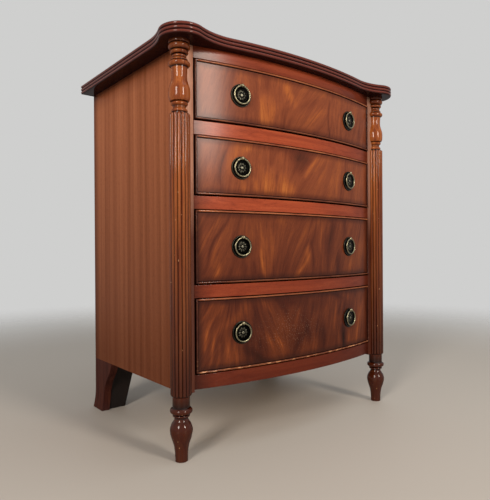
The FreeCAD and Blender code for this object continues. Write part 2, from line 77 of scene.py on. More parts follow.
# ---- The top's outline and its reeded edge ----
TOP_FRONT_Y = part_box("top_board")[0].y
TOP_BOW_RADIUS = 1086 * MM
TOP_SIDE_X = 307.2 * MM
TURRET = Vector((-276.9, -180.5)) * MM
TURRET_RADIUS = 43.2 * MM
SIDE_SWEEP = 147 * MM
FRONT_SWEEP = 132 * MM
OUTLINE_STEP = 4 * MM
EDGE_REEDS = 3
EDGE_REED_DEPTH = 2.9 * MM
EDGE_REED_STEPS = 10
EDGE_MARGIN = 9 * MM                  # flat strip that keeps the shading of the reeds off the flat faces
FLAT = 0.5                            # crest value of a flat face, between a reed's valley and its nose

# ---- Columns, in mm ----
SHAFT_BOTTOM = 116.4
SHAFT_TOP = 623.4
SHAFT_CORE = 17.0                     # radius in the valleys between the reeds
SHAFT_FILLET = 0.7                    # height of the step at either end of the shaft
REED_HEIGHT = 2.2
REEDS = 16
COLUMN_SEGMENTS = REEDS * 10

# ---- Drawers ----
DRAWERS = (1, 2, 3, 4)
BEAD_WIDTH = 3.5 * MM
BEAD_PROUD = 3.0 * MM
BEAD_DEPTH = 9.0 * MM
BEAD_STEPS = 10
BOW_STEPS = 40
QUIRK = 1.5 * MM                      # dark groove between the bead and the veneer
VENEER_PROUD = 0.3 * MM
VENEER_THICKNESS = 0.6 * MM
VENEER_STEP = 2.5 * MM

# The figure of each leaf of veneer: plumes from a root (x, z) to a tip (x, z) with a half width, all
# in mm from the middle of the front, and a strength, which is light above zero and dark below it.
PLUMES = {
    1: [
        (-196, -40, -178, 50, 5, -0.35),
        (-168, 20, -160, 50, 9, 0.30),
        (-128, -20, -124, 48, 8, -0.25),
        (-119, 30, -112, 52, 5, 0.35),
        (-104, -52, -110, 5, 10, 0.55),
        (-92, -50, -84, -8, 10, 0.50),
        (-101, 18, -94, 50, 8, -0.55),
        (-70, 44, -66, 10, 12, -0.20),
        (-52, 48, -26, 5, 15, 0.75),
        (-62, -52, -20, -24, 12, -0.35),
        (-32, -10, 62, 28, 11, -0.45),
        (14, 44, 60, 52, 9, 0.30),
        (-8, -36, 76, 6, 12, 0.35),
        (20, -52, 80, -34, 9, -0.35),
        (84, -54, 86, 30, 3, -0.75),
        (95, -52, 100, 46, 2, -0.35),
        (104, -52, 103, 0, 3, -0.40),
        (114, -50, 124, 30, 3, -0.35),
        (128, -52, 136, 20, 2, -0.35),
        (133, 2, 136, -18, 6, 0.20),
        (205, -40, 235, 40, 22, -0.20),
    ],
    2: [
        (-206, -50, -187, 50, 2.4, -0.90),
        (-211, -50, -194, 30, 3, -0.40),
        (-176, -10, -172, 46, 9, 0.45),
        (-152, 34, -136, 46, 9, 0.55),
        (-150, -48, -146, -30, 8, 0.40),
        (-120, 20, -58, 6, 14, -0.25),
        (-124, -20, -114, -50, 8, 0.60),
        (-103, -12, -92, -50, 13, 0.90),
        (-62, -18, -48, -48, 13, 0.95),
        (-36, -28, -30, -46, 9, 0.60),
        (-77, -2, -75, -22, 4, -0.45),
        (-44, 40, 36, 30, 17, -0.75),
        (-26, 4, 10, 22, 14, -0.55),
        (6, -4, 51, 42, 6, 0.95),
        (36, 8, 76, 46, 6, 0.45),
        (70, 10, 72, 40, 8, -0.20),
        (-10, -46, 60, -50, 8, -0.25),
        (84, -44, 100, 10, 9, 0.20),
        (113, -50, 118, 40, 4, 0.30),
        (129, -48, 147, 48, 2.4, -0.75),
        (136, -50, 152, 30, 2, -0.30),
        (238, -40, 240, 40, 14, -0.45),
    ],
    3: [
        (-240, -50, -186, 62, 3, -0.65),
        (-243, -10, -202, 62, 4, 0.40),
        (-222, -34, -192, 34, 4, 0.45),
        (-228, -20, -200, 40, 2, -0.35),
        (-216, -66, -206, -34, 6, 0.95),
        (-196, -20, -180, 60, 8, 0.15),
        (-150, -60, -172, 20, 14, -0.20),
        (-117, 44, -112, -14, 5, 0.55),
        (-112, -10, -102, -58, 7, 1.10),
        (-92, 24, -84, -58, 6, 0.45),
        (-126, 30, -124, -50, 4, -0.30),
        (-60, 60, -54, 44, 10, 0.35),
        (-24, -64, 14, -18, 8, 1.05),
        (4, -26, 17, 0, 6, 0.95),
        (8, 10, 40, 56, 8, 0.35),
        (25, -58, 28, 10, 5, -0.55),
        (44, -20, 46, 60, 8, -0.30),
        (57, -16, 57, 50, 4, 0.50),
        (84, -10, 90, 60, 9, -0.85),
        (74, -50, 76, 20, 8, -0.40),
        (110, -60, 122, 10, 12, -0.60),
        (100, -42, 128, 12, 1.8, 0.55),
        (84, -60, 100, -20, 1.8, 0.35),
        (134, 20, 144, 62, 9, -0.70),
        (120, 40, 124, 62, 5, 0.25),
        (166, -62, 172, -26, 9, 0.60),
        (188, -60, 215, 56, 20, 0.35),
        (244, -60, 244, 60, 10, -0.60),
    ],
    4: [
        (-238, -26, -206, 54, 3.5, 1.15),
        (-230, -60, -210, 6, 3.5, 0.95),
        (-246, 10, -222, 60, 3, 0.70),
        (-216, -66, -203, -20, 3, 0.80),
        (-222, 6, -214, 34, 3, -0.50),
        (-190, -62, -184, -10, 8, 0.85),
        (-172, -58, -168, -20, 6, 0.60),
        (-200, 10, -150, 46, 13, 0.55),
        (-202, 58, -190, 66, 5, -0.60),
        (-150, -30, -96, -64, 12, -0.70),
        (-136, 0, -128, 60, 10, -0.35),
        (-108, 60, -92, 34, 6, 0.60),
        (-64, 56, 0, 48, 16, -0.50),
        (-108, -8, -84, -30, 9, 0.65),
        (-80, -18, -52, -48, 10, 0.80),
        (-68, 22, -52, -8, 7, 0.30),
        (-30, 0, 0, 44, 7, 0.35),
        (-28, -62, -16, -20, 10, -0.35),
        (2, 20, 14, -30, 10, -0.40),
        (24, -62, 30, -20, 9, 0.60),
        (56, -64, 62, -6, 15, -0.65),
        (36, 8, 66, 30, 12, 0.25),
        (80, 64, 130, 48, 8, -0.50),
        (104, -28, 103, 42, 5, 0.65),
        (118, -50, 114, 10, 4, 0.35),
        (136, -66, 137, -8, 9, -1.10),
        (132, 0, 136, 36, 5, -0.90),
        (158, -64, 164, -34, 9, 0.85),
        (152, 40, 158, 60, 10, 0.60),
        (190, -58, 212, 58, 22, 0.60),
        (242, -60, 242, 60, 9, -0.70),
    ],
}
# How far the fibres lean to the right as they rise, at places (x in mm, lean) along each front.
LEANS = {
    1: [(-250, 0.3), (-190, 0.25), (-110, -0.12), (-60, 0.1), (0, 0.9), (60, 1.0), (85, 0.1), (250, 0.4)],
    2: [(-250, 0.35), (-195, 0.22), (-120, 0.1), (-40, 0.2), (0, 0.9), (60, 0.8), (110, 0.2), (250, 0.3)],
    3: [(-200, 0.5), (-150, 0.1), (-110, -0.12), (-10, 0.7), (55, 0.05), (110, 0.45), (250, 0.3)],
    4: [(-250, 0.45), (-205, 0.4), (-170, 0), (-110, -0.3), (-70, -0.6), (-20, 0.5), (30, 0.2), (250, 0.2)],
}
LEAN_STEPS = 24                       # steps in which a fibre is followed to the middle of its leaf
PLUME_SWAY = 4.0                      # how far the plumes wander sideways, in mm
# How far toner and painted shade darken each leaf, and what is added to that at a leaf's lower edge.
LEAF_DARKNESS = {1: 0.0, 2: 0.06, 3: 0.6, 4: 0.93}
LEAF_FOOT_DARKNESS = 0.3
# How bright the crest of each front's lower bead is, in rubbed wood and painted highlight, less where it
# lies in shade.
LOWER_BEAD_RUB_AND_HIGHLIGHT = {1: 0.4, 2: 0.4, 3: 0.4, 4: 1.0}
# Where the polish has crazed: the middle x and z of the patch and its half sizes, in mm.
CRAZED = {4: (-35, -5, 80, 34)}

# ---- Ring pulls, in mm: the boss and the button as (radius, height) ----
PULL_X = 157.6
PLATE_RADIUS = 22.0
RIM_CREST_RADIUS = 20.9
BOSS_EDGE = (11.4, 3.1)
BOSS_TOP = (3.2, 4.2)
BOSS_SLOPE = (BOSS_TOP[1] - BOSS_EDGE[1]) / (BOSS_EDGE[0] - BOSS_TOP[0])
BUTTON_EDGE = (2.9, 4.8)
PETAL_BACK = 0.6                      # how far a petal's flat back lies inside the boss


# ---------------------------------------------------------------- helpers
def linear(colour):
    """Linear colour of an sRGB hex value."""
    channels = [int(colour[i : i + 2], 16) / 255 for i in (1, 3, 5)]
    return (*(c / 12.92 if c <= 0.04045 else ((c + 0.055) / 1.055) ** 2.4 for c in channels), 1.0)


def add(tree, kind, inputs=None, stops=None, **settings):
    """Add a node. An input is a value, a socket, or a node, which gives its first output in use."""
    made = tree.nodes.new(kind)
    for name, value in settings.items():
        setattr(made, name, value)
    if stops:
        points = made.color_ramp.elements
        for place, colour in stops[1:-1]:
            points.new(place)
        for point, (place, colour) in zip(sorted(points, key=lambda p: p.position), stops):
            point.position = place
            point.color = linear(colour)
    for key, value in (inputs or {}).items():
        if isinstance(value, bpy.types.Node):
            value = next(socket for socket in value.outputs if socket.enabled)
        if isinstance(value, bpy.types.NodeSocket):
            tree.links.new(value, made.inputs[key])
        else:
            made.inputs[key].default_value = value
    return made


def material_of(name):
    material = bpy.data.materials.new(name)
    material.use_nodes = True
    tree = material.node_tree
    return material, tree, tree.nodes["Principled BSDF"]


def in_scene(name, data):
    """A new object at the origin."""
    made = bpy.data.objects.new(name, data)
    bpy.context.scene.collection.objects.link(made)
    return made


def made_plain(name, holder):
    """What an object's modifiers make of it, as a plain mesh. The object goes."""
    graph = bpy.context.evaluated_depsgraph_get()
    result = bpy.data.meshes.new_from_object(holder.evaluated_get(graph), depsgraph=graph)
    result.name = name
    bpy.data.objects.remove(holder)
    return result


def with_modifier(name, mesh, kind, **settings):
    holder = in_scene(name + "_blank", mesh)
    modifier = holder.modifiers.new(kind, kind)
    for key, value in settings.items():
        setattr(modifier, key, value)
    return made_plain(name, holder)


def geometry_tree(name, inputs):
    """An empty geometry tree with its named inputs; returns it with its first and last nodes."""
    tree = bpy.data.node_groups.new(name, "GeometryNodeTree")
    tree.interface.new_socket("Geometry", in_out="INPUT", socket_type="NodeSocketGeometry")
    for label, kind in inputs.items():
        tree.interface.new_socket(label, in_out="INPUT", socket_type="NodeSocket" + kind)
    tree.interface.new_socket("Geometry", in_out="OUTPUT", socket_type="NodeSocketGeometry")
    return tree, add(tree, "NodeGroupInput"), add(tree, "NodeGroupOutput")


def ended(tree, geometry, material, end):
    """End a geometry tree: its instances are made real and get their material."""
    real = add(tree, "GeometryNodeRealizeInstances", {"Geometry": geometry})
    finished = add(tree, "GeometryNodeSetMaterial", {"Geometry": real, "Material": material})
    tree.links.new(finished.outputs[0], end.inputs[0])
    return tree


def grown(name, tree, mesh, values):
    """Run a geometry tree on a mesh and keep the result as a plain mesh."""
    holder = in_scene(name + "_blank", mesh)
    modifier = holder.modifiers.new(name, "NODES")
    modifier.node_group = tree
    for item in tree.interface.items_tree:
        if item.in_out == "INPUT" and item.name in values:
            modifier[item.identifier] = values[item.name]
    return made_plain(name, holder)


def smoothed(mesh, angle=SMOOTH_ANGLE):
    mesh.polygons.foreach_set("use_smooth", [True] * len(mesh.polygons))
    mesh.set_sharp_from_angle(angle=angle)
    mesh.update()
    return mesh


def poured(shape, mesh):
    """Put a working shape into a mesh, and let the shape go."""
    shape.to_mesh(mesh)
    shape.free()
    return mesh


def outwards(mesh):
    """Merge doubles and point every face outwards."""
    shape = bmesh.new()
    shape.from_mesh(mesh)
    bmesh.ops.remove_doubles(shape, verts=shape.verts, dist=WELD)
    bmesh.ops.recalc_face_normals(shape, faces=shape.faces)
    return poured(shape, mesh)


def joined(name, meshes):
    shape = bmesh.new()
    for mesh in meshes:
        shape.from_mesh(mesh)
    return poured(shape, bpy.data.meshes.new(name))


def mesh_of(name, points, faces):
    mesh = bpy.data.meshes.new(name)
    mesh.from_pydata([tuple(p) for p in points], [], faces)
    return mesh


def mark(mesh, label, values):
    """Store one number for each point of a mesh, for its material to read."""
    mesh.attributes.new(label, "FLOAT", "POINT").data.foreach_set("value", values)


def grid_faces(rows, width):
    """Faces of a grid whose points are listed row by row."""
    return [
        (i * width + j, i * width + j + 1, (i + 1) * width + j + 1, (i + 1) * width + j)
        for i in range(rows - 1)
        for j in range(width - 1)
    ]


def grid_rim(rows, width):
    """Points round such a grid, in order."""
    rim = list(range(width))
    rim += [i * width + width - 1 for i in range(1, rows)]
    rim += [(rows - 1) * width + j for j in reversed(range(width - 1))]
    rim += [i * width for i in reversed(range(1, rows - 1))]
    return rim


def piece(name, mesh, material, body, slot, *nodes):
    """A finished piece that rides on a body and stands for these CAD nodes."""
    mesh.materials.clear()
    mesh.materials.append(material)
    made = in_scene(name, mesh)
    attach(made, body)
    if nodes:
        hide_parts(*nodes)
    return made


def joined_facets(node):
    """A copy of a CAD node with its loose triangles merged and its flat faces made whole."""
    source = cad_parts[node].data
    mesh = mesh_of(node + "_copy", [v.co for v in source.vertices], [p.vertices for p in source.polygons])
    shape = bmesh.new()
    shape.from_mesh(mesh)
    bmesh.ops.remove_doubles(shape, verts=shape.verts, dist=WELD)
    flat = math.radians(0.2)
    bmesh.ops.dissolve_limit(shape, angle_limit=flat, verts=shape.verts[:], edges=shape.edges[:])
    return poured(shape, mesh)


def eased(node, width=EASED_EDGE):
    """A board with its sharp edges rubbed down to a small round."""
    mesh = with_modifier(
        node + "_eased",
        smoothed(joined_facets(node)),
        "BEVEL",
        width=width,
        segments=2,
        limit_method="ANGLE",
        angle_limit=math.radians(40),
        use_clamp_overlap=True,
    )
    mesh = smoothed(mesh, math.radians(50))
    return with_modifier(
        node + "_eased", mesh, "WEIGHTED_NORMAL", mode="FACE_AREA", weight=60, keep_sharp=True
    )


def bow_y(x, proud=0.0):
    """Y of the bowed face, or of a surface that stands proud of it."""
    return BOW_AXIS_Y - math.sqrt((BOW_RADIUS + proud) ** 2 - x * x)


# ---------------------------------------------------------------- how wood looks
def grain_noise(tree, place, across, along, axis, detail=3.0, distortion=0.0, offset=(0, 0, 0)):
    """Noise drawn out along the grain. across and along are the sizes of its marks, in mm."""
    scale = [1 / (across * MM)] * 3
    scale["XYZ".index(axis)] = 1 / (along * MM)
    mapped = add(tree, "ShaderNodeMapping", {"Vector": place, "Scale": scale, "Location": offset})
    return add(
        tree,
        "ShaderNodeTexNoise",
        {"Vector": mapped, "Scale": 1.0, "Detail": detail, "Roughness": 0.55, "Distortion": distortion},
    )


def banded(tree, place, axis, band, fine, share, distortion, stops):
    """Soft bands along the grain, with a share of finer ones. band and fine are their sizes in mm."""
    wide = grain_noise(tree, place, *band, axis, distortion=distortion)
    narrow = grain_noise(tree, place, *fine, axis, detail=2.0)
    both = add(tree, "ShaderNodeMath", {0: narrow, 1: share, 2: wide}, operation="MULTIPLY_ADD")
    return add(tree, "ShaderNodeValToRGB", {"Fac": both}, stops=stops)


def quarter_sawn(tree, place, axis, dark, middle, light, band=(9, 240)):
    """Quarter-sawn mahogany: soft bands along the grain, crossed by faint lights."""
    stops = [(0.46, dark), (0.66, middle), (0.88, light)]
    return banded(tree, place, axis, band, (1.6, 60), 0.35, 0.6, stops)


def layered(tree, tone, *coats):
    """Lay colours over a tone, one after another; each coat is (how much of it shows, colour)."""
    for share, colour in coats:
        tone = add(tree, "ShaderNodeMix", {0: share, 6: tone, 7: linear(colour)}, data_type="RGBA")
    return tone


def graded_toner_and_shade(tree, place, tone, toner, start, end, most, axis="Z", about=None, **settings):
    """A colour laid on along an axis, used for toner and for painted shade: none of it at start, most of it
    at end, in metres.

    Where about is given, start and end are distances to either side of that place.
    """
    where = add(tree, "ShaderNodeSeparateXYZ", {"Vector": place}).outputs[axis]
    if about is not None:
        where = add(tree, "ShaderNodeMath", {0: where, 1: about}, operation="SUBTRACT")
        where = add(tree, "ShaderNodeMath", {0: where}, operation="ABSOLUTE")
    stretch = {"Value": where, "From Min": start, "From Max": end, "To Max": most}
    return layered(tree, tone, (add(tree, "ShaderNodeMapRange", stretch, **settings), toner))


def lacquered(tree, shader, tone, place, axis, coat=0.3, coat_roughness=0.2, roughness=0.45, bare=0.0):
    """French-polished wood: open pores darken and dimple it slightly, under a thin clear coat.

    The coat alone shines on polished wood; bare is the shine of wood that has none. Real pores are
    about 0.2 mm wide; these are coarser, so that they show.
    """
    marks = grain_noise(tree, place, 0.7, 9, axis, detail=2.0)
    pores = add(tree, "ShaderNodeMapRange", {"Value": marks, "From Min": 0.56, "From Max": 0.68})
    share = add(tree, "ShaderNodeMath", {0: pores, 1: 0.30}, operation="MULTIPLY")
    tone = layered(tree, tone, (share, "#1c0b07"))
    tree.links.new(tone.outputs[2], shader.inputs["Base Color"])
    depth = {"Height": pores, "Strength": 0.25, "Distance": 0.05 * MM}
    dimple = add(tree, "ShaderNodeBump", depth, invert=True)
    tree.links.new(dimple.outputs[0], shader.inputs["Normal"])
    for socket, value in (
        ("Roughness", roughness),
        ("IOR", 1.5),
        ("Specular IOR Level", bare),
        ("Coat Weight", coat),
        ("Coat Roughness", coat_roughness),
        ("Coat IOR", 1.5),
    ):
        shader.inputs[socket].default_value = value


# ---------------------------------------------------------------- woods
def rail_mahogany():
    """Solid red mahogany of the rails, darker low down with toner and painted shade, and with painted shade
    to the right, next to the posts and at the top rail's lower edge.
    """
    material, tree, shader = material_of("rail_mahogany")
    place = add(tree, "ShaderNodeTexCoord").outputs["Object"]
    tone = quarter_sawn(tree, place, "X", "#8e3d24", "#a0472a", "#ae5231")
    # Toner and painted shade: darker low down.
    tone = graded_toner_and_shade(tree, place, tone, "#3c0f06", 0.46, 0.11, 0.84)
    # Painted shade: darker towards the right end.
    tone = graded_toner_and_shade(tree, place, tone, "#4c241e", 0.02, 0.22, 0.45, axis="X")
    # Painted shade at both ends, next to the posts.
    tone = graded_toner_and_shade(tree, place, tone, "#1e0a06", 0.215, 0.245, 0.5, axis="X", about=0.0)
    # Painted shade: the top rail is darker down to its lower edge.
    tone = graded_toner_and_shade(tree, place, tone, "#2e0e08", 0.022, 0.002, 0.46, about=TOP_RAIL_BOTTOM)
    lacquered(tree, shader, tone, place, "X", coat=0.33)
    return material


def post_mahogany_painted_sheen():
    """Mahogany of the narrow posts, pale with a painted sheen of the window, darker in the lower half where
    the painted sheen ends, and with painted shade to the right.
    """
    material, tree, shader = material_of("post_mahogany_painted_sheen")
    place = add(tree, "ShaderNodeTexCoord").outputs["Object"]
    # The pale colours are a painted sheen of the window.
    tone = quarter_sawn(tree, place, "Z", "#b57a60", "#cc957b", "#dba88f")
    # Darker in the lower half, where the painted sheen ends.
    tone = graded_toner_and_shade(tree, place, tone, "#4a1606", 0.52, 0.40, 0.9)
    # Painted shade: darker to the right.
    tone = graded_toner_and_shade(tree, place, tone, "#2e0d06", 0.02, 0.22, 0.45, axis="X")
    lacquered(tree, shader, tone, place, "Z", coat=0.4)
    return material


def top_mahogany():
    """Dark glossy mahogany of the top: its reeds carry painted shade in the valleys and a painted highlight,
    with rubbing, on the nose, and its lower face is darker, with stain and painted shade, and has less
    polish."""
    material, tree, shader = material_of("top_mahogany")
    place = add(tree, "ShaderNodeTexCoord").outputs["Object"]
    tone = quarter_sawn(tree, place, "X", "#33110c", "#431813", "#54221a", band=(14, 420))
    crest = add(tree, "ShaderNodeAttribute", attribute_name="crest").outputs["Fac"]
    sunk = {"Value": crest, "From Min": FLAT, "From Max": 0.0, "To Max": 0.7}
    valley = add(tree, "ShaderNodeMapRange", sunk)
    nose = add(tree, "ShaderNodeMapRange", {"Value": crest, "From Min": 0.8, "To Max": 0.75})
    facing = add(tree, "ShaderNodeNewGeometry").outputs["Normal"]
    up = add(tree, "ShaderNodeSeparateXYZ", {"Vector": facing}).outputs["Z"]
    below = add(tree, "ShaderNodeMapRange", {"Value": up, "From Min": -0.6, "From Max": -0.95})
    # Painted shade in the valleys, a painted highlight and rubbing on the noses, stain and painted shade
    # below.
    tone = layered(tree, tone, (valley, "#1c0605"), (nose, "#7c3a2a"), (below, "#2e1512"))
    lacquered(tree, shader, tone, place, "X", coat_roughness=0.1)
    coat = add(tree, "ShaderNodeMapRange", {"Value": below, "To Min": 0.5, "To Max": 0.25})
    tree.links.new(coat.outputs[0], shader.inputs["Coat Weight"])
    return material


def foot_mahogany():
    """Dark mahogany of the rear feet, under thin polish."""
    material, tree, shader = material_of("foot_mahogany")
    place = add(tree, "ShaderNodeTexCoord").outputs["Object"]
    tone = quarter_sawn(tree, place, "Z", "#34170f", "#43201a", "#52291d")
    lacquered(tree, shader, tone, place, "Z", coat=0.2, coat_roughness=0.25)
    return material


def ribbon_veneer():
    """Ribbon-striped mahogany veneer: soft upright stripes of even width, where the grain turns over,
    under toner and painted shade, darker towards the floor, with a painted shadow of the top along the upper
    edge and toner along the rear edge."""
    material, tree, shader = material_of("ribbon_mahogany_veneer")
    place = add(tree, "ShaderNodeTexCoord").outputs["Object"]
    wide = grain_noise(tree, place, 17, 1500, "Z", detail=1.0, distortion=0.15)
    stripe = grain_noise(tree, place, 6.5, 700, "Z", detail=2.0, offset=(3.1, 0, 0))
    fine = grain_noise(tree, place, 1.3, 90, "Z", detail=2.0)
    total = add(tree, "ShaderNodeMath", {0: stripe, 1: 0.7, 2: wide}, operation="MULTIPLY_ADD")
    total = add(tree, "ShaderNodeMath", {0: fine, 1: 0.35, 2: total}, operation="MULTIPLY_ADD")
    half = add(tree, "ShaderNodeMath", {0: total, 1: 0.5}, operation="MULTIPLY")
    stops = [(0.36, "#915433"), (0.50, "#a76442"), (0.66, "#b9744e")]
    tone = add(tree, "ShaderNodeValToRGB", {"Fac": half}, stops=stops)
    # Toner and painted shade: darker towards the floor.
    tone = graded_toner_and_shade(tree, place, tone, "#4a2212", 0.66, 0.14, 0.74)
    # Painted shadow of the top's overhang, with toner, under the top.
    tone = graded_toner_and_shade(tree, place, tone, "#4c1d14", 0.71, CARCASE_TOP, 0.6)
    rear = (BACK_Y - 34 * MM, BACK_Y, 0.6)
    tone = graded_toner_and_shade(tree, place, tone, "#3d1a10", *rear, axis="Y", interpolation_type="SMOOTHSTEP")
    lacquered(tree, shader, tone, place, "Z", coat=0.16, coat_roughness=0.25)
    return material


def crotch_veneer():
    """Flame-figured veneer from the crotch of the tree: light plumes that lean and part, made of
    fine strands, under toner and painted shade that darken the lower drawers, and toner at the edges of each
    leaf.

    Attributes of the leaf: figure, how light the plumes make it; fibre, its place along and across
    the strands; room, how far it is from the edge; shade, how dark the toner and painted shade are; crazed.
    """
    material, tree, shader = material_of("crotch_mahogany_veneer")
    figure, room, shade, crazed = (
        add(tree, "ShaderNodeAttribute", attribute_name=label).outputs["Fac"]
        for label in ("figure", "room", "shade", "crazed")
    )
    fibre = add(tree, "ShaderNodeAttribute", attribute_name="fibre").outputs["Vector"]
    plume = grain_noise(tree, fibre, 26, 110, "Z", detail=2.0, distortion=0.8)
    strand = grain_noise(tree, fibre, 5, 70, "Z", detail=3.0, distortion=0.5)
    fine = grain_noise(tree, fibre, 1.5, 26, "Z", detail=2.0)
    # The strands break each plume up, and are seen beside the plumes as well.
    broken = add(tree, "ShaderNodeMath", {0: strand, 1: 1.5, 2: -0.05}, operation="MULTIPLY_ADD")
    total = add(tree, "ShaderNodeMath", {0: figure, 1: broken}, operation="MULTIPLY")
    for noise, share in ((plume, 1.1), (strand, 0.65), (fine, 0.45)):
        centred = add(tree, "ShaderNodeMath", {0: noise, 1: 0.5}, operation="SUBTRACT")
        total = add(tree, "ShaderNodeMath", {0: centred, 1: share, 2: total}, operation="MULTIPLY_ADD")
    level = add(tree, "ShaderNodeMapRange", {"Value": total, "From Min": -1.1, "From Max": 1.1})
    places = (0.12, 0.36, 0.52, 0.72, 0.92)
    light, dark = (
        add(tree, "ShaderNodeValToRGB", {"Fac": level}, stops=list(zip(places, colours)))
        for colours in (
            ("#532a1c", "#763b25", "#8c4a2d", "#a95d30", "#bd7038"),
            ("#220c06", "#401a0f", "#562715", "#70361a", "#8f4a20"),
        )
    )
    # shade: toner and painted shade, darker on the lower drawers.
    tone = add(tree, "ShaderNodeMix", {0: shade, 6: light, 7: dark}, data_type="RGBA")
    border = {"Value": room, "From Min": 0.0, "From Max": 13 * MM, "To Min": 0.6, "To Max": 0.0}
    edge = add(tree, "ShaderNodeMapRange", border, interpolation_type="SMOOTHSTEP")
    toner = layered(tree, linear("#4a2015"), (shade, "#26110c"))
    tone = add(tree, "ShaderNodeMix", {0: edge, 6: tone, 7: toner}, data_type="RGBA")
    # Crazing: pale flecks about 2 mm long where the polish has lifted.
    flecks = grain_noise(tree, fibre, 1.6, 3, "Z", detail=1.0, offset=(7, 3, 1))
    lifted = add(tree, "ShaderNodeMapRange", {"Value": flecks, "From Min": 0.64, "From Max": 0.72})
    lifted = add(tree, "ShaderNodeMath", {0: lifted, 1: crazed}, operation="MULTIPLY")
    lacquered(tree, shader, layered(tree, tone, (lifted, "#9a7a62")), fibre, "Z")
    return material


def turned_mahogany():
    """Turned mahogany, with toner and painted shade dark in the grooves and under the steps of its outline,
    darker low down, and with painted shadow under the top.
    """
    material, tree, shader = material_of("turned_mahogany")
    place = add(tree, "ShaderNodeTexCoord").outputs["Object"]
    stops = [(0.48, "#6c3017"), (0.68, "#904a20"), (0.88, "#ad632f")]
    tone = banded(tree, place, "Z", (8, 180), (1.5, 50), 0.4, 0.5, stops)
    # Toner and painted shade: darker towards the floor.
    tone = graded_toner_and_shade(tree, place, tone, "#340e05", 0.55, 0.14, 0.92)
    # Painted shadow under the top, with toner.
    tone = graded_toner_and_shade(tree, place, tone, "#3c140b", 0.70, CARCASE_TOP, 0.7)
    groove = add(tree, "ShaderNodeAttribute", attribute_name="groove").outputs["Fac"]
    # Nicks about 2 mm long, knocked through to pale wood.
    chips = grain_noise(tree, place, 3, 6, "Z", detail=0.0, offset=(5, 2, 8))
    knocked = add(tree, "ShaderNodeMapRange", {"Value": chips, "From Min": 0.84, "From Max": 0.87})
    # groove: toner and painted shade in the reeds' valleys and the hollows of the outline.
    tone = layered(tree, tone, (groove, "#1a0704"), (knocked, "#c79468"))
    lacquered(tree, shader, tone, place, "Z", coat=0.5, coat_roughness=0.08, roughness=0.35)
    return material


def bead_mahogany():
    """Cock bead: dark on its sides and orange along its crest, in toner and rubbed wood with painted shade
    and a painted highlight. The lowest bead is knocked and worn through in places."""
    material, tree, shader = material_of("bead_mahogany")
    place = add(tree, "ShaderNodeTexCoord").outputs["Object"]
    crest = add(tree, "ShaderNodeAttribute", attribute_name="crest").outputs["Fac"]
    patches = grain_noise(tree, place, 12, 60, "X", detail=3.0)
    rubbed = add(tree, "ShaderNodeMapRange", {"Value": patches, "From Min": 0.3, "From Max": 0.6})
    rubbed = add(tree, "ShaderNodeMath", {0: crest, 1: rubbed}, operation="MULTIPLY")
    # Dark sides and orange crest: toner and rubbed wood, with painted shade and a painted highlight.
    tone = layered(tree, linear("#160705"), (crest, "#84412a"), (rubbed, "#b06a42"))
    # Toner and painted shade: darker towards the floor.
    tone = graded_toner_and_shade(tree, place, tone, "#3a1a10", 0.42, 0.12, 0.6)
    height = add(tree, "ShaderNodeSeparateXYZ", {"Vector": place}).outputs["Z"]
    low = add(tree, "ShaderNodeMapRange", {"Value": height, "From Min": 0.20, "From Max": 0.17})
    knocks = grain_noise(tree, place, 4, 14, "X", detail=2.0, offset=(2, 0, 5))
    worn = add(tree, "ShaderNodeMapRange", {"Value": knocks, "From Min": 0.52, "From Max": 0.62})
    for limit in (low, crest):
        worn = add(tree, "ShaderNodeMath", {0: worn, 1: limit}, operation="MULTIPLY")
    tone = layered(tree, tone, (worn, "#c58a60"))
    # The upright lengths at either end are darker, with toner and painted shade.
    end_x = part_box("drawer_1_cock_bead")[1].x
    upright = (end_x - 7 * MM, end_x - 4 * MM, 0.75)
    tone = graded_toner_and_shade(tree, place, tone, "#2e120e", *upright, axis="X", about=0.0)
    lacquered(tree, shader, tone, place, "X", coat=0.4, coat_roughness=0.14)
    return material


def front_core():
    """The board under the veneer: near black outside, as toner and painted shade in the groove by the bead
    and the gaps round the drawer; plain mahogany on its inner face.
    """
    material, tree, shader = material_of("toned_and_shaded_core_mahogany")
    place = add(tree, "ShaderNodeTexCoord").outputs["Object"]
    facing = add(tree, "ShaderNodeNewGeometry").outputs["Normal"]
    rearwards = add(tree, "ShaderNodeSeparateXYZ", {"Vector": facing}).outputs["Y"]
    inner = add(tree, "ShaderNodeMath", {0: rearwards, 1: 0.7}, operation="GREATER_THAN")
    band = grain_noise(tree, place, 9, 240, "X", distortion=0.6)
    bare = layered(tree, linear("#6e3f28"), (band, "#98603f"))
    # Near black outside: toner and painted shade.
    tone = add(tree, "ShaderNodeMix", {0: inner, 6: linear("#1c0a07"), 7: bare}, data_type="RGBA")
    lacquered(tree, shader, tone, place, "X", coat=0.1, coat_roughness=0.25)
    return material


def bare_wood(name, dark, light, axis, roughness=0.6):
    """Plain sealed or unpolished wood, with straight grain and open pores."""
    material, tree, shader = material_of(name)
    place = add(tree, "ShaderNodeTexCoord").outputs["Object"]
    tone = banded(tree, place, axis, (5, 260), (1.2, 40), 0.4, 0.4, [(0.5, dark), (0.9, light)])
    lacquered(tree, shader, tone, place, axis, coat=0.0, roughness=roughness, bare=0.3)
    return material


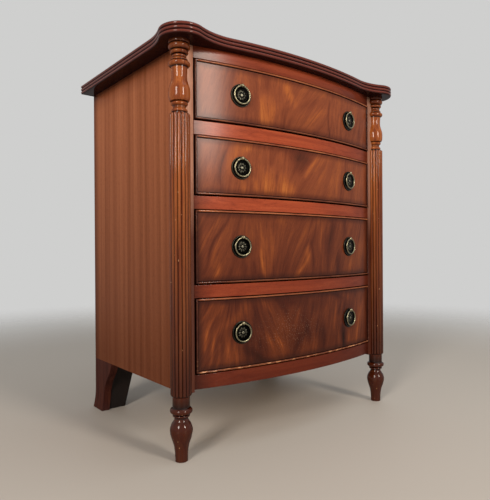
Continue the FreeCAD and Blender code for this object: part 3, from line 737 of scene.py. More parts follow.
# ---------------------------------------------------------------- metals
def antique_brass(name, low, high, roughness, marked=False):
    """Cast brass, darkened in its hollows and bright on its high parts, which are marked with the attribute
    shine (rubbed brass and painted highlights) or else come and go with the casting's grit."""
    material, tree, shader = material_of(name)
    place = add(tree, "ShaderNodeTexCoord").outputs["Object"]
    grit = add(tree, "ShaderNodeTexNoise", {"Vector": place, "Scale": 1 / (1.4 * MM), "Detail": 4.0})
    if marked:
        shine = add(tree, "ShaderNodeAttribute", attribute_name="shine").outputs["Fac"]
    else:
        shine = add(tree, "ShaderNodeMapRange", {"Value": grit, "From Min": 0.25, "From Max": 0.55})
    tone = layered(tree, linear(low), (shine, high))
    spread = {"Value": grit, "To Min": roughness - 0.08, "To Max": roughness + 0.16}
    rough = add(tree, "ShaderNodeMapRange", spread)
    cast = add(tree, "ShaderNodeBump", {"Height": grit, "Strength": 0.3, "Distance": 0.06 * MM})
    tree.links.new(tone.outputs[2], shader.inputs["Base Color"])
    tree.links.new(rough.outputs[0], shader.inputs["Roughness"])
    tree.links.new(cast.outputs[0], shader.inputs["Normal"])
    shader.inputs["Metallic"].default_value = 1.0
    return material


def dull_steel():
    """Zinc-dulled steel of the screws, with a fine grit."""
    material, tree, shader = material_of("dull_steel")
    place = add(tree, "ShaderNodeTexCoord").outputs["Object"]
    grit = add(tree, "ShaderNodeTexNoise", {"Vector": place, "Scale": 1 / (0.8 * MM), "Detail": 3.0})
    tone = layered(tree, linear("#6d6a65"), (grit, "#a5a29c"))
    tree.links.new(tone.outputs[2], shader.inputs["Base Color"])
    shader.inputs["Metallic"].default_value = 1.0
    shader.inputs["Roughness"].default_value = 0.38
    return material


RIBBON = ribbon_veneer()
CROTCH = crotch_veneer()
TURNED = turned_mahogany()
BEAD = bead_mahogany()
CORE = front_core()
RAIL = rail_mahogany()
POST = post_mahogany_painted_sheen()
TOP = top_mahogany()
FOOT = foot_mahogany()
STAINED = bare_wood("dark_stained_wood", "#120a07", "#1d110c", "Z", roughness=0.7)
LINING = bare_wood("drawer_lining_wood", "#b08a5c", "#cdaa7b", "Y")
LINING_ACROSS = bare_wood("drawer_back_wood", "#b08a5c", "#cdaa7b", "X")
PLY = bare_wood("birch_ply", "#c3a275", "#d8bc92", "X")
BACK_PLY = bare_wood("stained_ply", "#5a3620", "#7a4d2f", "X")
INNER = bare_wood("plain_hardwood", "#8c6541", "#a98257", "Y")
PLATE_BRASS = antique_brass("darkened_brass", "#080807", "#a39f8a", roughness=0.3, marked=True)
RING_BRASS = antique_brass("rubbed_brass", "#37332a", "#958e72", roughness=0.24)
STEEL = dull_steel()


# ---------------------------------------------------------------- the top
def arc_between(centre, start, end):
    """Points of the shorter arc from start to end about a centre."""
    first, last = start - centre, end - centre
    turn = math.atan2(first.x * last.y - first.y * last.x, first.dot(last))
    count = max(2, math.ceil(abs(turn) * first.length / OUTLINE_STEP))
    return [centre + Matrix.Rotation(turn * i / count, 2) @ first for i in range(count + 1)]


def top_half_outline():
    """From the left rear corner round the turret to the middle of the bow."""
    side_reach = TURRET_RADIUS + SIDE_SWEEP
    side_x = -TOP_SIDE_X - SIDE_SWEEP
    side_centre = Vector((side_x, TURRET.y + math.sqrt(side_reach**2 - (side_x - TURRET.x) ** 2)))
    bow_centre = Vector((0, TOP_FRONT_Y + TOP_BOW_RADIUS))
    near = TURRET_RADIUS + FRONT_SWEEP
    far = TOP_BOW_RADIUS + FRONT_SWEEP
    span = bow_centre - TURRET
    along = (span.length_squared + near**2 - far**2) / (2 * span.length)
    aside = math.sqrt(near**2 - along**2)
    across = Vector((span.y, -span.x)).normalized() * aside
    front_centre = TURRET + span.normalized() * along + across

    side_end = Vector((-TOP_SIDE_X, side_centre.y))
    turret_start = TURRET + (side_centre - TURRET) * (TURRET_RADIUS / side_reach)
    turret_end = TURRET + (front_centre - TURRET) * (TURRET_RADIUS / near)
    bow_end = bow_centre + (front_centre - bow_centre) * (TOP_BOW_RADIUS / far)
    points = [Vector((-TOP_SIDE_X, BACK_Y)), side_end]
    for centre, start, end in (
        (side_centre, side_end, turret_start),
        (TURRET, turret_start, turret_end),
        (front_centre, turret_end, bow_end),
        (bow_centre, bow_end, Vector((0, TOP_FRONT_Y))),
    ):
        points += arc_between(centre, start, end)[1:]
    return points


def top_edge_section():
    """The reeded edge as (offset outwards, z, crest), from the lower face to the upper one."""
    low, high = (corner.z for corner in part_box("top_board"))
    pitch = (high - low) / EDGE_REEDS
    section = [(-EDGE_MARGIN, low, FLAT)]
    for reed in range(EDGE_REEDS):
        for step in range(EDGE_REED_STEPS + (reed == EDGE_REEDS - 1)):
            turn = math.pi * (step / EDGE_REED_STEPS - 0.5)
            depth = EDGE_REED_DEPTH * (1 - math.cos(turn))
            section.append((-depth, low + pitch * (reed + 0.5 + 0.5 * math.sin(turn)), math.cos(turn)))
    return [*section, (-EDGE_MARGIN / 2, high, FLAT), (-EDGE_MARGIN, high, FLAT)]


def top_board():
    """The top, with its reeded section drawn along its outline."""
    left = top_half_outline()
    path = left + [Vector((-p.x, p.y)) for p in reversed(left[:-1])]
    normals = []
    for i in range(len(path)):
        before, after = path[max(i - 1, 0)], path[min(i + 1, len(path) - 1)]
        run = (after - before).normalized()
        normals.append(Vector((run.y, -run.x)))
    normals[0], normals[-1] = Vector((-1, 0)), Vector((1, 0))

    section = top_edge_section()
    points, crests = [], []
    for point, normal in zip(path, normals):
        for offset, z, crest in section:
            spot = point + normal * offset
            points.append((spot.x, min(spot.y, BACK_Y), z))
            crests.append(crest)
    rows, width = len(path), len(section)
    faces = grid_faces(rows, width)
    faces.append([i * width + width - 1 for i in range(rows)])
    faces.append([i * width for i in reversed(range(rows))])
    faces.append(list(range(width)) + [(rows - 1) * width + j for j in reversed(range(width))])
    mesh = mesh_of("top_board_reeded", points, faces)
    mark(mesh, "crest", crests)
    return smoothed(outwards(mesh))


piece("top_board_reeded", top_board(), TOP, "carcase", "top_mahogany", "top_board")


# ---------------------------------------------------------------- turnings
def smooth_run(points, step=1.2):
    """Catmull-Rom curve through points, without the first."""
    padded = [points[0], *points, points[-1]]
    run = []
    for i in range(1, len(padded) - 2):
        p0, p1, p2, p3 = (np.array(padded[i + k], float) for k in (-1, 0, 1, 2))
        count = max(2, math.ceil(np.linalg.norm(p2 - p1) / step))
        for t in (np.arange(count) + 1) / count:
            bend = (2 * p0 - 5 * p1 + 4 * p2 - p3) * t**2 + (3 * p1 - p0 - 3 * p2 + p3) * t**3
            run.append(0.5 * (2 * p1 + (p2 - p0) * t + bend))
    return run


def bulge(start, end, height, step=0.5):
    """Circular arc from start to end that stands out by height, or in where it is negative."""
    start, end = np.array(start, float), np.array(end, float)
    chord = np.linalg.norm(end - start)
    half = 2 * math.atan(2 * abs(height) / chord)
    radius = chord / (2 * math.sin(half))
    along = (end - start) / chord
    out = np.array([along[1], -along[0]]) * math.copysign(1, height)
    count = max(4, math.ceil(2 * half * radius / step))
    turns = [half * (2 * (i + 1) / count - 1) for i in range(count)]
    middle = (start + end) / 2 - out * radius * math.cos(half)
    return [middle + radius * (along * math.sin(turn) + out * math.cos(turn)) for turn in turns]


def turning(start, steps):
    """Outline of a turning as (radius, height): straight cuts, beads, coves and flowing curves."""
    outline = [np.array(start, float)]
    for step in steps:
        if isinstance(step, list):
            outline += smooth_run([outline[-1], *step])
        elif len(step) == 3:
            outline += bulge(outline[-1], step[:2], step[2])
        else:
            outline.append(np.array(step, float))
    return outline


def turned_about_z(outline, segments):
    """Solid of revolution from (radius, height) points that start and end on the axis."""
    points, loops = [], []
    for radius, height in outline:
        if radius < 1e-6:
            loops.append([len(points)] * segments)
            points.append((0, 0, height))
            continue
        loops.append(list(range(len(points), len(points) + segments)))
        turns = [2 * math.pi * i / segments for i in range(segments)]
        points += [(radius * math.cos(a), radius * math.sin(a), height) for a in turns]
    faces = []
    for first, second in zip(loops, loops[1:]):
        for i in range(segments):
            j = (i + 1) % segments
            corners = list(dict.fromkeys((first[i], first[j], second[j], second[i])))
            if len(corners) > 2:
                faces.append(corners)
    return points, faces


# ---------------------------------------------------------------- columns
def column_outline():
    """A column from the floor up: turned foot, plain core of the reeded shaft, turned head."""
    stem = [(11.9, 14.0), (12.8, 23.0), (14.6, 31.6)]
    bulb = [(18.5, 43.5), (20.7, 55.4), (18.4, 65.6), (13.4, 73.6), (11.7, 79.0)]
    belly = [(19.2, 649.9), (19.7, 658.2), (19.1, 667.6), (16.6, 675.9)]
    neck = [(14.5, 684.9), (14.2, 693.5), (15.0, 705.4)]
    foot = turning(
        (0.0, 0.0),
        [
            (10.8, 0.0),
            (11.5, 1.2, 0.3),
            stem + bulb,
            (13.4, 79.8),
            (13.9, 84.4, 2.1),
            (15.6, 85.2),
            (16.4, 96.4, 4.3),
            (15.7, 97.2),
            (15.7, SHAFT_BOTTOM - 0.6),
            (16.3, SHAFT_BOTTOM),
            (SHAFT_CORE, SHAFT_BOTTOM + SHAFT_FILLET),
        ],
    )
    near_end = [0.3, 0.7, 1.2, 1.8, 2.5, 3.4, 4.5, 8.0]
    heights = [SHAFT_BOTTOM + SHAFT_FILLET + d for d in near_end]
    heights += list(np.linspace(SHAFT_BOTTOM + 30, SHAFT_TOP - 30, 14))
    heights += [SHAFT_TOP - SHAFT_FILLET - d for d in reversed(near_end)]
    shaft = [np.array((SHAFT_CORE, z)) for z in heights]
    head = turning(
        (SHAFT_CORE, SHAFT_TOP - SHAFT_FILLET),
        [
            (16.0, SHAFT_TOP),
            (13.4, SHAFT_TOP + 0.4),
            (13.4, 624.6),
            (12.8, 630.8, 1.7),
            (14.2, 637.8, -1.8),
            (14.5, 642.4, 1.0),
            (14.3, 643.6),
            (17.2, 644.8),
            belly + neck,
            (18.7, 707.8),
            (17.2, 715.4, 1.8),
            (13.9, 716.0),
            (12.8, 721.4, 2.2),
            (11.8, 721.8),
            (11.8, 727.8, 1.4),
            (12.8, 728.4),
            (14.2, 735.4, 3.1),
            (15.2, 736.0),
            (16.8, 736.8),
            (17.2, 746.6, 2.8),
            (16.8, 747.2),
            (17.8, 747.8),
            (19.4, 749.2, 0.4),
            (19.4, CARCASE_TOP / MM),
            (0.0, CARCASE_TOP / MM),
        ],
    )
    return foot + shaft + head


def hollows(outline, reach=3.2, full=1.5, slack=0.15, step=1.8):
    """How far each point lies in a groove, or under a step in the outline, from 0 to 1."""
    radii, heights = np.array(outline).T
    depths = []
    for i, (radius, height) in enumerate(zip(radii, heights)):
        near = np.abs(heights - height) < reach
        below, above = radii[: i + 1][near[: i + 1]].max(), radii[i:][near[i:]].max()
        groove = min(below, above) - radius - slack
        corner = max(below, above) - radius - step
        depths.append(float(np.clip(max(groove, corner) / full, 0, 1)))
    return depths


def reeded_turning_tree():
    """Turns an outline, given as a row of points (radius, 0, height), and reeds its shaft."""
    sizes = dict.fromkeys(("Reed Height", "Reed End", "Shaft Bottom", "Shaft Top"), "Float")
    tree, start, end = geometry_tree(
        "reeded turning", {"Segments": "Int", "Reeds": "Int", **sizes, "Material": "Material"}
    )
    given = start.outputs
    row_given = {"Geometry": given["Geometry"]}
    size = add(tree, "GeometryNodeAttributeDomainSize", row_given, component="MESH").outputs["Point Count"]
    seam = add(tree, "ShaderNodeMath", {0: given["Segments"], 1: 1.0}, operation="ADD")
    sheet = {"Size X": 1.0, "Size Y": 1.0, "Vertices X": seam, "Vertices Y": size}
    grid = add(tree, "GeometryNodeMeshGrid", sheet)
    position = add(tree, "GeometryNodeInputPosition")
    place = add(tree, "ShaderNodeSeparateXYZ", {"Vector": position}).outputs
    share = add(tree, "ShaderNodeMath", {0: place["Y"], 1: 0.5}, operation="ADD")
    last_row = add(tree, "ShaderNodeMath", {0: size, 1: 1.0}, operation="SUBTRACT")
    row = add(tree, "ShaderNodeMath", {0: share, 1: last_row}, operation="MULTIPLY")
    row = add(tree, "FunctionNodeFloatToInt", {0: row}, rounding_mode="ROUND")
    named = add(tree, "GeometryNodeInputNamedAttribute", {"Name": "hollow"}, data_type="FLOAT")
    spot, hollow = (
        add(
            tree,
            "GeometryNodeSampleIndex",
            {**row_given, "Value": value, "Index": row},
            data_type=kind,
            domain="POINT",
        )
        for value, kind in ((position, "FLOAT_VECTOR"), (named, "FLOAT"))
    )
    outline = add(tree, "ShaderNodeSeparateXYZ", {"Vector": spot}).outputs
    radius, height = outline["X"], outline["Z"]

    # Across a reed: -1 to 1 from valley to valley. Along it: 0 inside, rising to 1 at either end.
    turns = add(tree, "ShaderNodeMath", {0: place["X"], 1: 0.5}, operation="ADD")
    count = add(tree, "ShaderNodeMath", {0: turns, 1: given["Reeds"]}, operation="MULTIPLY")
    phase = add(tree, "ShaderNodeMath", {0: count}, operation="FRACT")
    side = add(tree, "ShaderNodeMath", {0: phase, 1: 2.0, 2: -1.0}, operation="MULTIPLY_ADD")
    above = add(tree, "ShaderNodeMath", {0: height, 1: given["Shaft Bottom"]}, operation="SUBTRACT")
    below = add(tree, "ShaderNodeMath", {0: given["Shaft Top"], 1: height}, operation="SUBTRACT")
    inset = add(tree, "ShaderNodeMath", {0: above, 1: below}, operation="MINIMUM")
    inside = add(tree, "ShaderNodeMath", {0: inset, 1: -1e-6}, operation="GREATER_THAN")
    rise = {"Value": inset, "From Min": 0.0, "From Max": given["Reed End"], "To Min": 1.0, "To Max": 0.0}
    nearness = add(tree, "ShaderNodeMapRange", rise)
    squares = add(tree, "ShaderNodeMath", {0: side, 1: side}, operation="MULTIPLY")
    squares = add(tree, "ShaderNodeMath", {0: nearness, 1: nearness, 2: squares}, operation="MULTIPLY_ADD")
    left = add(tree, "ShaderNodeMath", {0: 1.0, 1: squares}, operation="SUBTRACT", use_clamp=True)
    round_over = add(tree, "ShaderNodeMath", {0: left}, operation="SQRT")
    reed = add(tree, "ShaderNodeMath", {0: round_over, 1: inside}, operation="MULTIPLY")
    tall = {0: reed, 1: given["Reed Height"], 2: radius}
    full = add(tree, "ShaderNodeMath", tall, operation="MULTIPLY_ADD")
    valley = add(tree, "ShaderNodeMath", {0: inside, 1: reed}, operation="SUBTRACT")
    # Toner and painted shade are laid into the reeds' valleys and the hollows.
    groove = add(tree, "ShaderNodeMath", {0: valley, 1: hollow}, operation="MAXIMUM")
    marked = {"Geometry": grid.outputs["Mesh"], "Name": "groove", "Value": groove}
    stored = add(tree, "GeometryNodeStoreNamedAttribute", marked, data_type="FLOAT", domain="POINT")
    turn = add(tree, "ShaderNodeMath", {0: place["X"], 1: 2 * math.pi, 2: math.pi}, operation="MULTIPLY_ADD")
    ring = {"Z": height}
    for axis, wave in (("X", "COSINE"), ("Y", "SINE")):
        swing = add(tree, "ShaderNodeMath", {0: turn}, operation=wave)
        ring[axis] = add(tree, "ShaderNodeMath", {0: full, 1: swing}, operation="MULTIPLY")
    spread = {"Geometry": stored, "Position": add(tree, "ShaderNodeCombineXYZ", ring)}
    placed = add(tree, "GeometryNodeSetPosition", spread)
    closed = add(tree, "GeometryNodeMergeByDistance", {"Geometry": placed, "Distance": 0.01 * MM})
    return ended(tree, closed, given["Material"], end)


def corner_block():
    """The corner of the carcase, where a quarter of the left column is cut away to seat it."""
    low = Vector((-SIDE_X, FACE_Y, CARCASE_BOTTOM))
    high = Vector((-SIDE_X + 60 * MM, FACE_Y + 60 * MM, CARCASE_TOP + 5 * MM))
    shape = bmesh.new()
    bmesh.ops.create_cube(shape, size=1.0)
    bmesh.ops.scale(shape, vec=high - low, verts=shape.verts)
    bmesh.ops.translate(shape, vec=(low + high) / 2, verts=shape.verts)
    return in_scene("corner_block", poured(shape, bpy.data.meshes.new("corner_block")))


def columns():
    """The left column, and its mirror image."""
    outline = column_outline()
    row = mesh_of("column_outline", [(r * MM, 0, z * MM) for r, z in outline], [])
    mark(row, "hollow", hollows(outline))
    sizes = {
        "Segments": COLUMN_SEGMENTS,
        "Reeds": REEDS,
        "Reed Height": REED_HEIGHT * MM,
        "Reed End": math.pi * SHAFT_CORE / REEDS * MM,
        "Shaft Bottom": (SHAFT_BOTTOM + SHAFT_FILLET) * MM,
        "Shaft Top": (SHAFT_TOP - SHAFT_FILLET) * MM,
        "Material": TURNED,
    }
    turned = grown("column_turning", reeded_turning_tree(), row, sizes)
    low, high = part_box("column_left")
    turned.transform(Matrix.Translation(((low.x + high.x) / 2, (low.y + high.y) / 2, 0)))
    outwards(turned)
    block = corner_block()
    cut = {"operation": "DIFFERENCE", "object": block, "solver": "EXACT"}
    left = with_modifier("column_left_turned", turned, "BOOLEAN", **cut)
    bpy.data.objects.remove(block)
    right = left.copy()
    right.name = "column_right_turned"
    right.transform(Matrix.Diagonal((-1, 1, 1, 1)))
    right.flip_normals()
    for side, mesh in (("left", left), ("right", right)):
        smoothed(mesh, math.radians(38))
        piece(f"column_{side}_turned", mesh, TURNED, "carcase", "turned_mahogany", f"column_{side}")


columns()


# ---------------------------------------------------------------- carcase boards
for side in ("left", "right"):
    panel, foot = f"side_panel_{side}", f"rear_foot_side_{side}"
    piece(panel + "_veneered", eased(panel), RIBBON, "carcase", "side_veneer", panel)
    piece(f"rear_foot_{side}_shaped", eased(foot), FOOT, "carcase", "foot_mahogany", foot)
RAILS = ("top_rail", "divider_rail_1", "divider_rail_2", "divider_rail_3", "bottom_rail")
for material, slot, boards in (
    (POST, "rail_mahogany", ("front_posts",)),
    (RAIL, "rail_mahogany", RAILS),
    (STAINED, "dark_stained_wood", ("rear_foot_returns",)),
):
    for node in boards:
        piece(node + "_eased", eased(node), material, "carcase", slot, node)


# ---------------------------------------------------------------- drawers
def plume_tone(k, across, up):
    """How much lighter or darker the plumes make each spot of a leaf; across and up are in mm."""
    tone = np.zeros_like(across)
    across = across + PLUME_SWAY * np.sin(up / 19 + across / 43)
    for root_x, root_z, tip_x, tip_z, half_width, strength in PLUMES[k]:
        run_x, run_z = tip_x - root_x, tip_z - root_z
        along = ((across - root_x) * run_x + (up - root_z) * run_z) / (run_x**2 + run_z**2)
        along = np.clip(along, 0, 1)
        away = np.hypot(across - root_x - along * run_x, up - root_z - along * run_z)
        tone += strength * (0.5 + 0.5 * np.sin(math.pi * along)) / (1 + (away / half_width) ** 2) ** 1.5
    return tone


def fibre_start(k, across, up):
    """Where the strand through each spot crosses the middle of the leaf, found by following it."""
    places, leans = zip(*LEANS[k])
    for _ in range(LEAN_STEPS):
        across = across - np.interp(across, places, leans) * up / LEAN_STEPS
    return across


def veneer_leaf(k):
    """The leaf of veneer on a front: a thin bowed sheet that carries its figure in attributes."""
    low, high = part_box(f"drawer_{k}_cock_bead")
    inset = BEAD_WIDTH + QUIRK
    half_x, half_z = high.x - inset, (high.z - low.z) / 2 - inset
    middle = (low.z + high.z) / 2
    width, rows = (2 * math.ceil(half / VENEER_STEP) + 1 for half in (half_x, half_z))
    across, up = np.meshgrid(np.linspace(-half_x, half_x, width), np.linspace(-half_z, half_z, rows))
    across, up = across.ravel(), up.ravel()

    points = [(x, bow_y(x, VENEER_PROUD), middle + z) for x, z in zip(across, up)]
    faces = grid_faces(rows, width)
    rim = grid_rim(rows, width)
    back = [len(points) + i for i in range(len(rim))]
    points += [(across[i], bow_y(across[i], VENEER_PROUD - VENEER_THICKNESS), middle + up[i]) for i in rim]
    faces += [
        (rim[i], back[i], back[(i + 1) % len(rim)], rim[(i + 1) % len(rim)]) for i in range(len(rim))
    ]
    # The back is a row of upright strips from the lower edge to the upper one.
    lower = back[:width]
    upper = list(reversed(back[width + rows - 2 : 2 * width + rows - 2]))
    right, left = back[width - 1 : width + rows - 1], [back[0], *reversed(back[2 * width + rows - 3 :])]
    faces += [(lower[j], upper[j], upper[j + 1], lower[j + 1]) for j in range(1, width - 2)]
    faces.append([*right, upper[-2], lower[-2]])
    faces.append([lower[1], upper[1], *reversed(left)])
    mesh = mesh_of(f"drawer_{k}_leaf", points, faces)

    across, up = np.append(across, across[rim]) / MM, np.append(up, up[rim]) / MM
    mark(mesh, "figure", plume_tone(k, across, up))
    mark(mesh, "room", np.minimum(half_x / MM - np.abs(across), half_z / MM - np.abs(up)) * MM)
    # Toner and painted shade: darker on the lower drawers and towards each leaf's lower edge.
    mark(mesh, "shade", LEAF_DARKNESS[k] + LEAF_FOOT_DARKNESS * np.clip(-up * MM / half_z, 0, 1))
    crazed = np.zeros_like(up)
    if k in CRAZED:
        craze_x, craze_z, reach_x, reach_z = CRAZED[k]
        crazed = np.exp(-(((across - craze_x) / reach_x) ** 2) - ((up - craze_z) / reach_z) ** 2)
    mark(mesh, "crazed", crazed)
    fibre = np.column_stack((fibre_start(k, across, up), np.full_like(up, k * 900.0), up)) * MM
    mesh.attributes.new("fibre", "FLOAT_VECTOR", "POINT").data.foreach_set("vector", fibre.ravel())
    return smoothed(mesh)


def cock_bead(k):
    """Frame of bead round a front, mitred at its corners."""
    low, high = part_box(f"drawer_{k}_cock_bead")
    radius = BEAD_WIDTH / 2
    section = [(0.0, -BEAD_DEPTH, 0.0)]
    for step in range(BEAD_STEPS + 1):
        turn = math.pi * step / BEAD_STEPS
        crest = math.sin(turn)
        section.append((radius * (1 - math.cos(turn)), BEAD_PROUD - radius * (1 - crest), crest))
    section.append((BEAD_WIDTH, -BEAD_DEPTH, 0.0))
    points, crests, loops = [], [], []
    for inset, proud, crest in section:
        x0, z0, z1 = low.x + inset, low.z + inset, high.z - inset
        across = [x0 + (-2 * x0) * i / BOW_STEPS for i in range(BOW_STEPS + 1)]
        ring = [(x, z0) for x in across] + [(x, z1) for x in reversed(across)]
        loops.append(range(len(points), len(points) + len(ring)))
        points += [(x, bow_y(x, proud), z) for x, z in ring]
        crests += [crest * LOWER_BEAD_RUB_AND_HIGHLIGHT[k]] * len(across) + [crest] * len(across)
    faces = []
    for first, second in zip(loops, loops[1:] + loops[:1]):
        for i in range(len(first)):
            j = (i + 1) % len(first)
            faces.append((first[i], first[j], second[j], second[i]))
    mesh = mesh_of(f"drawer_{k}_bead", points, faces)
    mark(mesh, "crest", crests)
    return smoothed(outwards(mesh), math.radians(40))


for k in DRAWERS:
    name = f"drawer_{k}"
    core = eased(f"{name}_front", 0.4 * MM)
    piece(f"{name}_front_core", core, CORE, name, "crotch_veneer", f"{name}_front")
    piece(f"{name}_veneer", veneer_leaf(k), CROTCH, name, "crotch_veneer")
    piece(f"{name}_bead", cock_bead(k), BEAD, name, "bead_mahogany", f"{name}_cock_bead")
    for part, wood in (("side_left", LINING), ("side_right", LINING), ("back", LINING_ACROSS)):
        piece(f"{name}_{part}_eased", eased(f"{name}_{part}"), wood, name, "drawer_lining", f"{name}_{part}")


# ---------------------------------------------------------------- ring pulls
def petal_mesh(length, width, height, steps_along=8, steps_across=6):
    """One raised petal with a crease along its middle, lying along +Y from its root, in mm."""
    points = []
    for i in range(steps_along + 1):
        t = i / steps_along
        half = width / 2 * math.sin(math.pi * min(t * 1.12 + 0.12, 1.0)) ** 0.8
        swell = height * math.sin(math.pi * min(t + 0.1, 1.0)) ** 0.5
        for j in range(steps_across + 1):
            s = 2 * j / steps_across - 1
            lift = swell * (1 - s * s) ** 0.5 * (1 - 0.35 * math.exp(-((s * 4) ** 2)))
            points.append((half * s, length * t, lift))
    faces = grid_faces(steps_along + 1, steps_across + 1)
    # A flat back closes the petal; it lies inside the boss.
    rim = grid_rim(steps_along + 1, steps_across + 1)
    back = [len(points) + i for i in range(len(rim))]
    points += [(points[i][0], points[i][1], -PETAL_BACK) for i in rim]
    for i in range(len(rim)):
        j = (i + 1) % len(rim)
        faces.append((rim[j], rim[i], back[i], back[j]))
    faces.append(back)
    return outwards(mesh_of("petal", [Vector(p) * MM for p in points], faces))


def rosette_tree():
    """Petals set round a circle, each leaning out from the middle."""
    sizes = dict.fromkeys(("Root Radius", "Lift", "Fall"), "Float")
    tree, start, end = geometry_tree(
        "rosette", {"Petal": "Object", "Petals": "Int", **sizes, "Material": "Material"}
    )
    given = start.outputs
    ring = add(tree, "GeometryNodeMeshCircle", {"Vertices": given["Petals"], "Radius": given["Root Radius"]})
    lift = add(tree, "ShaderNodeCombineXYZ", {"Z": given["Lift"]})
    raised = add(tree, "GeometryNodeSetPosition", {"Geometry": ring, "Offset": lift})
    position = add(tree, "GeometryNodeInputPosition")
    place = add(tree, "ShaderNodeSeparateXYZ", {"Vector": position}).outputs
    bearing = add(tree, "ShaderNodeMath", {0: place["Y"], 1: place["X"]}, operation="ARCTAN2")
    quarter = add(tree, "ShaderNodeMath", {0: bearing, 1: math.pi / 2}, operation="SUBTRACT")
    facing = add(tree, "ShaderNodeCombineXYZ", {"X": given["Fall"], "Y": 0.0, "Z": quarter})
    petal = add(tree, "GeometryNodeObjectInfo", {"Object": given["Petal"]}).outputs["Geometry"]
    petals = {"Points": raised, "Instance": petal, "Rotation": facing}
    return ended(tree, add(tree, "GeometryNodeInstanceOnPoints", petals), given["Material"], end)


def petal_ring(tree, name, count, length, width, height, root, lift, fall):
    petal = in_scene(name + "_petal", petal_mesh(length, width, height))
    values = {
        "Petal": petal,
        "Petals": count,
        "Root Radius": root * MM,
        "Lift": lift * MM,
        "Fall": fall,
        "Material": PLATE_BRASS,
    }
    mesh = grown(name, tree, bpy.data.meshes.new(name + "_start"), values)
    bpy.data.objects.remove(petal)
    return mesh


def plate_shine(spot):
    """How bright the brass is, as rubbed brass and painted highlights: a little on the rim's crest and the
    button, more on the petals.
    """
    radius = math.hypot(spot.x, spot.y)
    rim = max(0.0, 1 - abs(radius - RIM_CREST_RADIUS) / 1.2) if spot.z > 1.6 else 0.0
    boss_height = BOSS_TOP[1] - BOSS_SLOPE * (radius - BOSS_TOP[0])
    petal = min(1.0, max(0.0, spot.z - boss_height - 0.3) / 0.9) if radius < BOSS_EDGE[0] + 1 else 0.0
    button = 1.0 if radius < BUTTON_EDGE[0] and spot.z > BUTTON_EDGE[1] - 0.1 else 0.0
    return min(1.0, 0.1 * rim + 0.4 * petal + 0.08 * button)


def unit_backplate():
    """Backplate about its own middle, facing +Z: rolled rim, dished groove, rosette on a boss."""
    outline = turning(
        (0.0, 0.0),
        [
            (21.7, 0.0),
            (PLATE_RADIUS, 0.4),
            (PLATE_RADIUS, 1.2),
            (19.6, 1.9, 1.0),
            (18.9, 1.2),
            (16.2, 1.0, -0.1),
            (13.4, 1.1, -0.1),
            (12.9, 2.6),
            (12.2, 3.3, 0.3),
            BOSS_EDGE,
            (*BOSS_TOP, 0.4),
            BUTTON_EDGE,
            (1.7, 5.5, 0.25),
            (0.0, 5.7),
        ],
    )
    points, faces = turned_about_z([(r * MM, z * MM) for r, z in outline], 72)
    plate = outwards(mesh_of("backplate_body", points, faces))
    tree = rosette_tree()
    outer = petal_ring(tree, "outer_petals", 10, 7.4, 3.9, 1.4, root=4.8, lift=3.6, fall=-0.12)
    inner = petal_ring(tree, "inner_petals", 6, 3.6, 2.3, 0.6, root=2.2, lift=4.4, fall=-0.14)
    whole = joined("backplate", (plate, outer, inner))
    mark(whole, "shine", [plate_shine(v.co / MM) for v in whole.vertices])
    return smoothed(whole, math.radians(45))


def set_on_bow(mesh, x, z):
    """Turn a mesh that faces +Z to stand on the bowed face at x, z."""
    turn = Matrix.Rotation(math.asin(x / BOW_RADIUS), 4, "Z") @ Matrix.Rotation(math.pi / 2, 4, "X")
    mesh.transform(Matrix.Translation((x, bow_y(x), z)) @ turn)
    return mesh


backplate = unit_backplate()
for k in DRAWERS:
    name = f"drawer_{k}"
    low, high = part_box(f"{name}_pull_plates")
    middle = (low.z + high.z) / 2
    plates = [set_on_bow(backplate.copy(), sign * PULL_X * MM, middle) for sign in (-1, 1)]
    plates = smoothed(joined(f"{name}_backplates", plates), math.radians(45))
    piece(f"{name}_backplates", plates, PLATE_BRASS, name, "antique_brass", f"{name}_pull_plates")
    posts = smoothed(joined_facets(f"{name}_pull_posts"))
    piece(f"{name}_knuckle_posts", posts, RING_BRASS, name, "antique_brass", f"{name}_pull_posts")
    for side in ("left", "right"):
        node, body = f"{name}_ring_{side}", f"ring_{k}_{side}"
        piece(body + "_bail", smoothed(joined_facets(node)), RING_BRASS, body, "antique_brass", node)


# ---------------------------------------------------------------- plain nodes
def dress(material, *nodes):
    """Give CAD nodes that keep their own meshes a material."""
    for node in nodes:
        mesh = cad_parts[node].data
        mesh.materials.clear()
        mesh.materials.append(material)


dress(BACK_PLY, "back_panel")
dress(STEEL, "back_panel_screws")
dress(INNER, "rear_rails", "drawer_runners", "top_kickers", "rear_foot_blocks")
dress(PLY, *[f"drawer_{k}_bottom" for k in DRAWERS])


# ---------------------------------------------------------------- studio
def studio_floor():
    """Pale floor that fades into the backdrop."""
    material, tree, shader = material_of("studio_floor")
    place = add(tree, "ShaderNodeTexCoord").outputs["Object"]
    reach = add(tree, "ShaderNodeVectorMath", {0: place}, operation="LENGTH").outputs["Value"]
    ends = {"Value": reach, "From Min": FLOOR_FADE[0], "From Max": FLOOR_FADE[1]}
    fade = add(tree, "ShaderNodeMapRange", ends, interpolation_type="SMOOTHSTEP")
    shader.inputs["Base Color"].default_value = linear(FLOOR)
    shader.inputs["Roughness"].default_value = 0.6
    clear = add(tree, "ShaderNodeBsdfTransparent")
    blend = add(tree, "ShaderNodeMixShader", {0: fade, 1: shader.outputs[0], 2: clear})
    tree.links.new(blend.outputs[0], tree.nodes["Material Output"].inputs["Surface"])
    shape = bmesh.new()
    bmesh.ops.create_circle(shape, cap_ends=True, radius=FLOOR_FADE[1], segments=96)
    mesh = poured(shape, bpy.data.meshes.new("studio_floor"))
    mesh.materials.append(material)
    floor = in_scene("studio_floor", mesh)


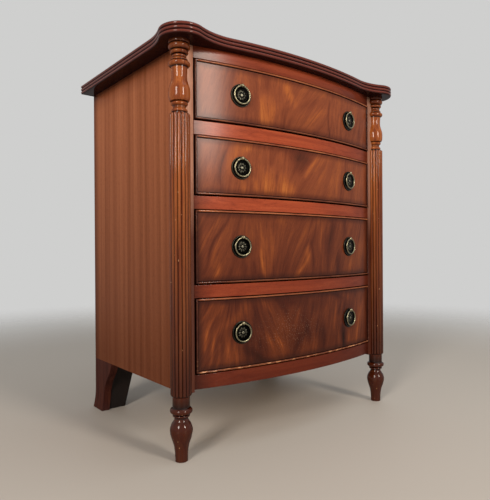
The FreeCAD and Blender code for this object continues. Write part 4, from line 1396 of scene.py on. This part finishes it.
def backdrop_world():
    """Pale for the camera and in reflections, dimmer as a light."""
    world = bpy.data.worlds.new("studio")
    world.use_nodes = True
    tree = world.node_tree
    ray = add(tree, "ShaderNodeLightPath").outputs
    seen = ray["Is Camera Ray"]
    for other in ("Is Glossy Ray", "Is Transmission Ray"):
        seen = add(tree, "ShaderNodeMath", {0: seen, 1: ray[other]}, operation="MAXIMUM")
    tone = layered(tree, (AMBIENT, AMBIENT, AMBIENT, 1.0), (seen, BACKDROP))
    tree.links.new(tone.outputs[2], tree.nodes["Background"].inputs["Color"])
    bpy.context.scene.world = world


def window(name, place, aim, width, height, radiance, colour):
    """A soft window of even brightness."""
    light = bpy.data.lights.new(name, "AREA")
    light.shape = "RECTANGLE"
    light.size = width
    light.size_y = height
    light.energy = radiance * math.pi * width * height
    light.color = linear(colour)[:3]
    lamp = in_scene(name, light)
    lamp.location = place
    lamp.rotation_euler = (Vector(aim) - Vector(place)).to_track_quat("-Z", "Y").to_euler()
    lamp.visible_camera = False


def camera():
    sight = bpy.data.cameras.new("camera")
    sight.lens = CAMERA_LENS
    sight.sensor_width = 36.0
    sight.sensor_fit = "AUTO"
    sight.shift_x, sight.shift_y = CAMERA_SHIFT
    sight.clip_start = 0.05
    sight.clip_end = 60.0
    right = Vector((math.cos(CAMERA_YAW), -math.sin(CAMERA_YAW), 0))
    level = math.cos(CAMERA_PITCH)
    north, east = math.cos(CAMERA_YAW) * level, math.sin(CAMERA_YAW) * level
    ahead = Vector((east, north, math.sin(CAMERA_PITCH)))
    aimed = Matrix((right, right.cross(ahead), -ahead)).transposed().to_4x4()
    holder = in_scene("camera", sight)
    holder.matrix_world = (
        Matrix.Translation(CAMERA_PLACE) @ aimed @ Matrix.Rotation(CAMERA_ROLL, 4, "Z")
    )
    bpy.context.scene.camera = holder


studio_floor()
backdrop_world()
window("left_window", (-2.75, -1.45, 1.6), (-0.2, -0.1, 0.5), 0.7, 1.25, 23.0, "#fff4ea")
window("front_window", (0.32, -3.2, 1.68), (0.0, 0.0, 0.5), 0.56, 1.2, 28.0, "#fff3e6")
window("ceiling", (0.6, -0.6, 3.2), (0.0, 0.0, 0.3), 2.6, 2.6, 1.3, "#ffffff")
camera()

bpy.context.scene.view_settings.view_transform = "Standard"
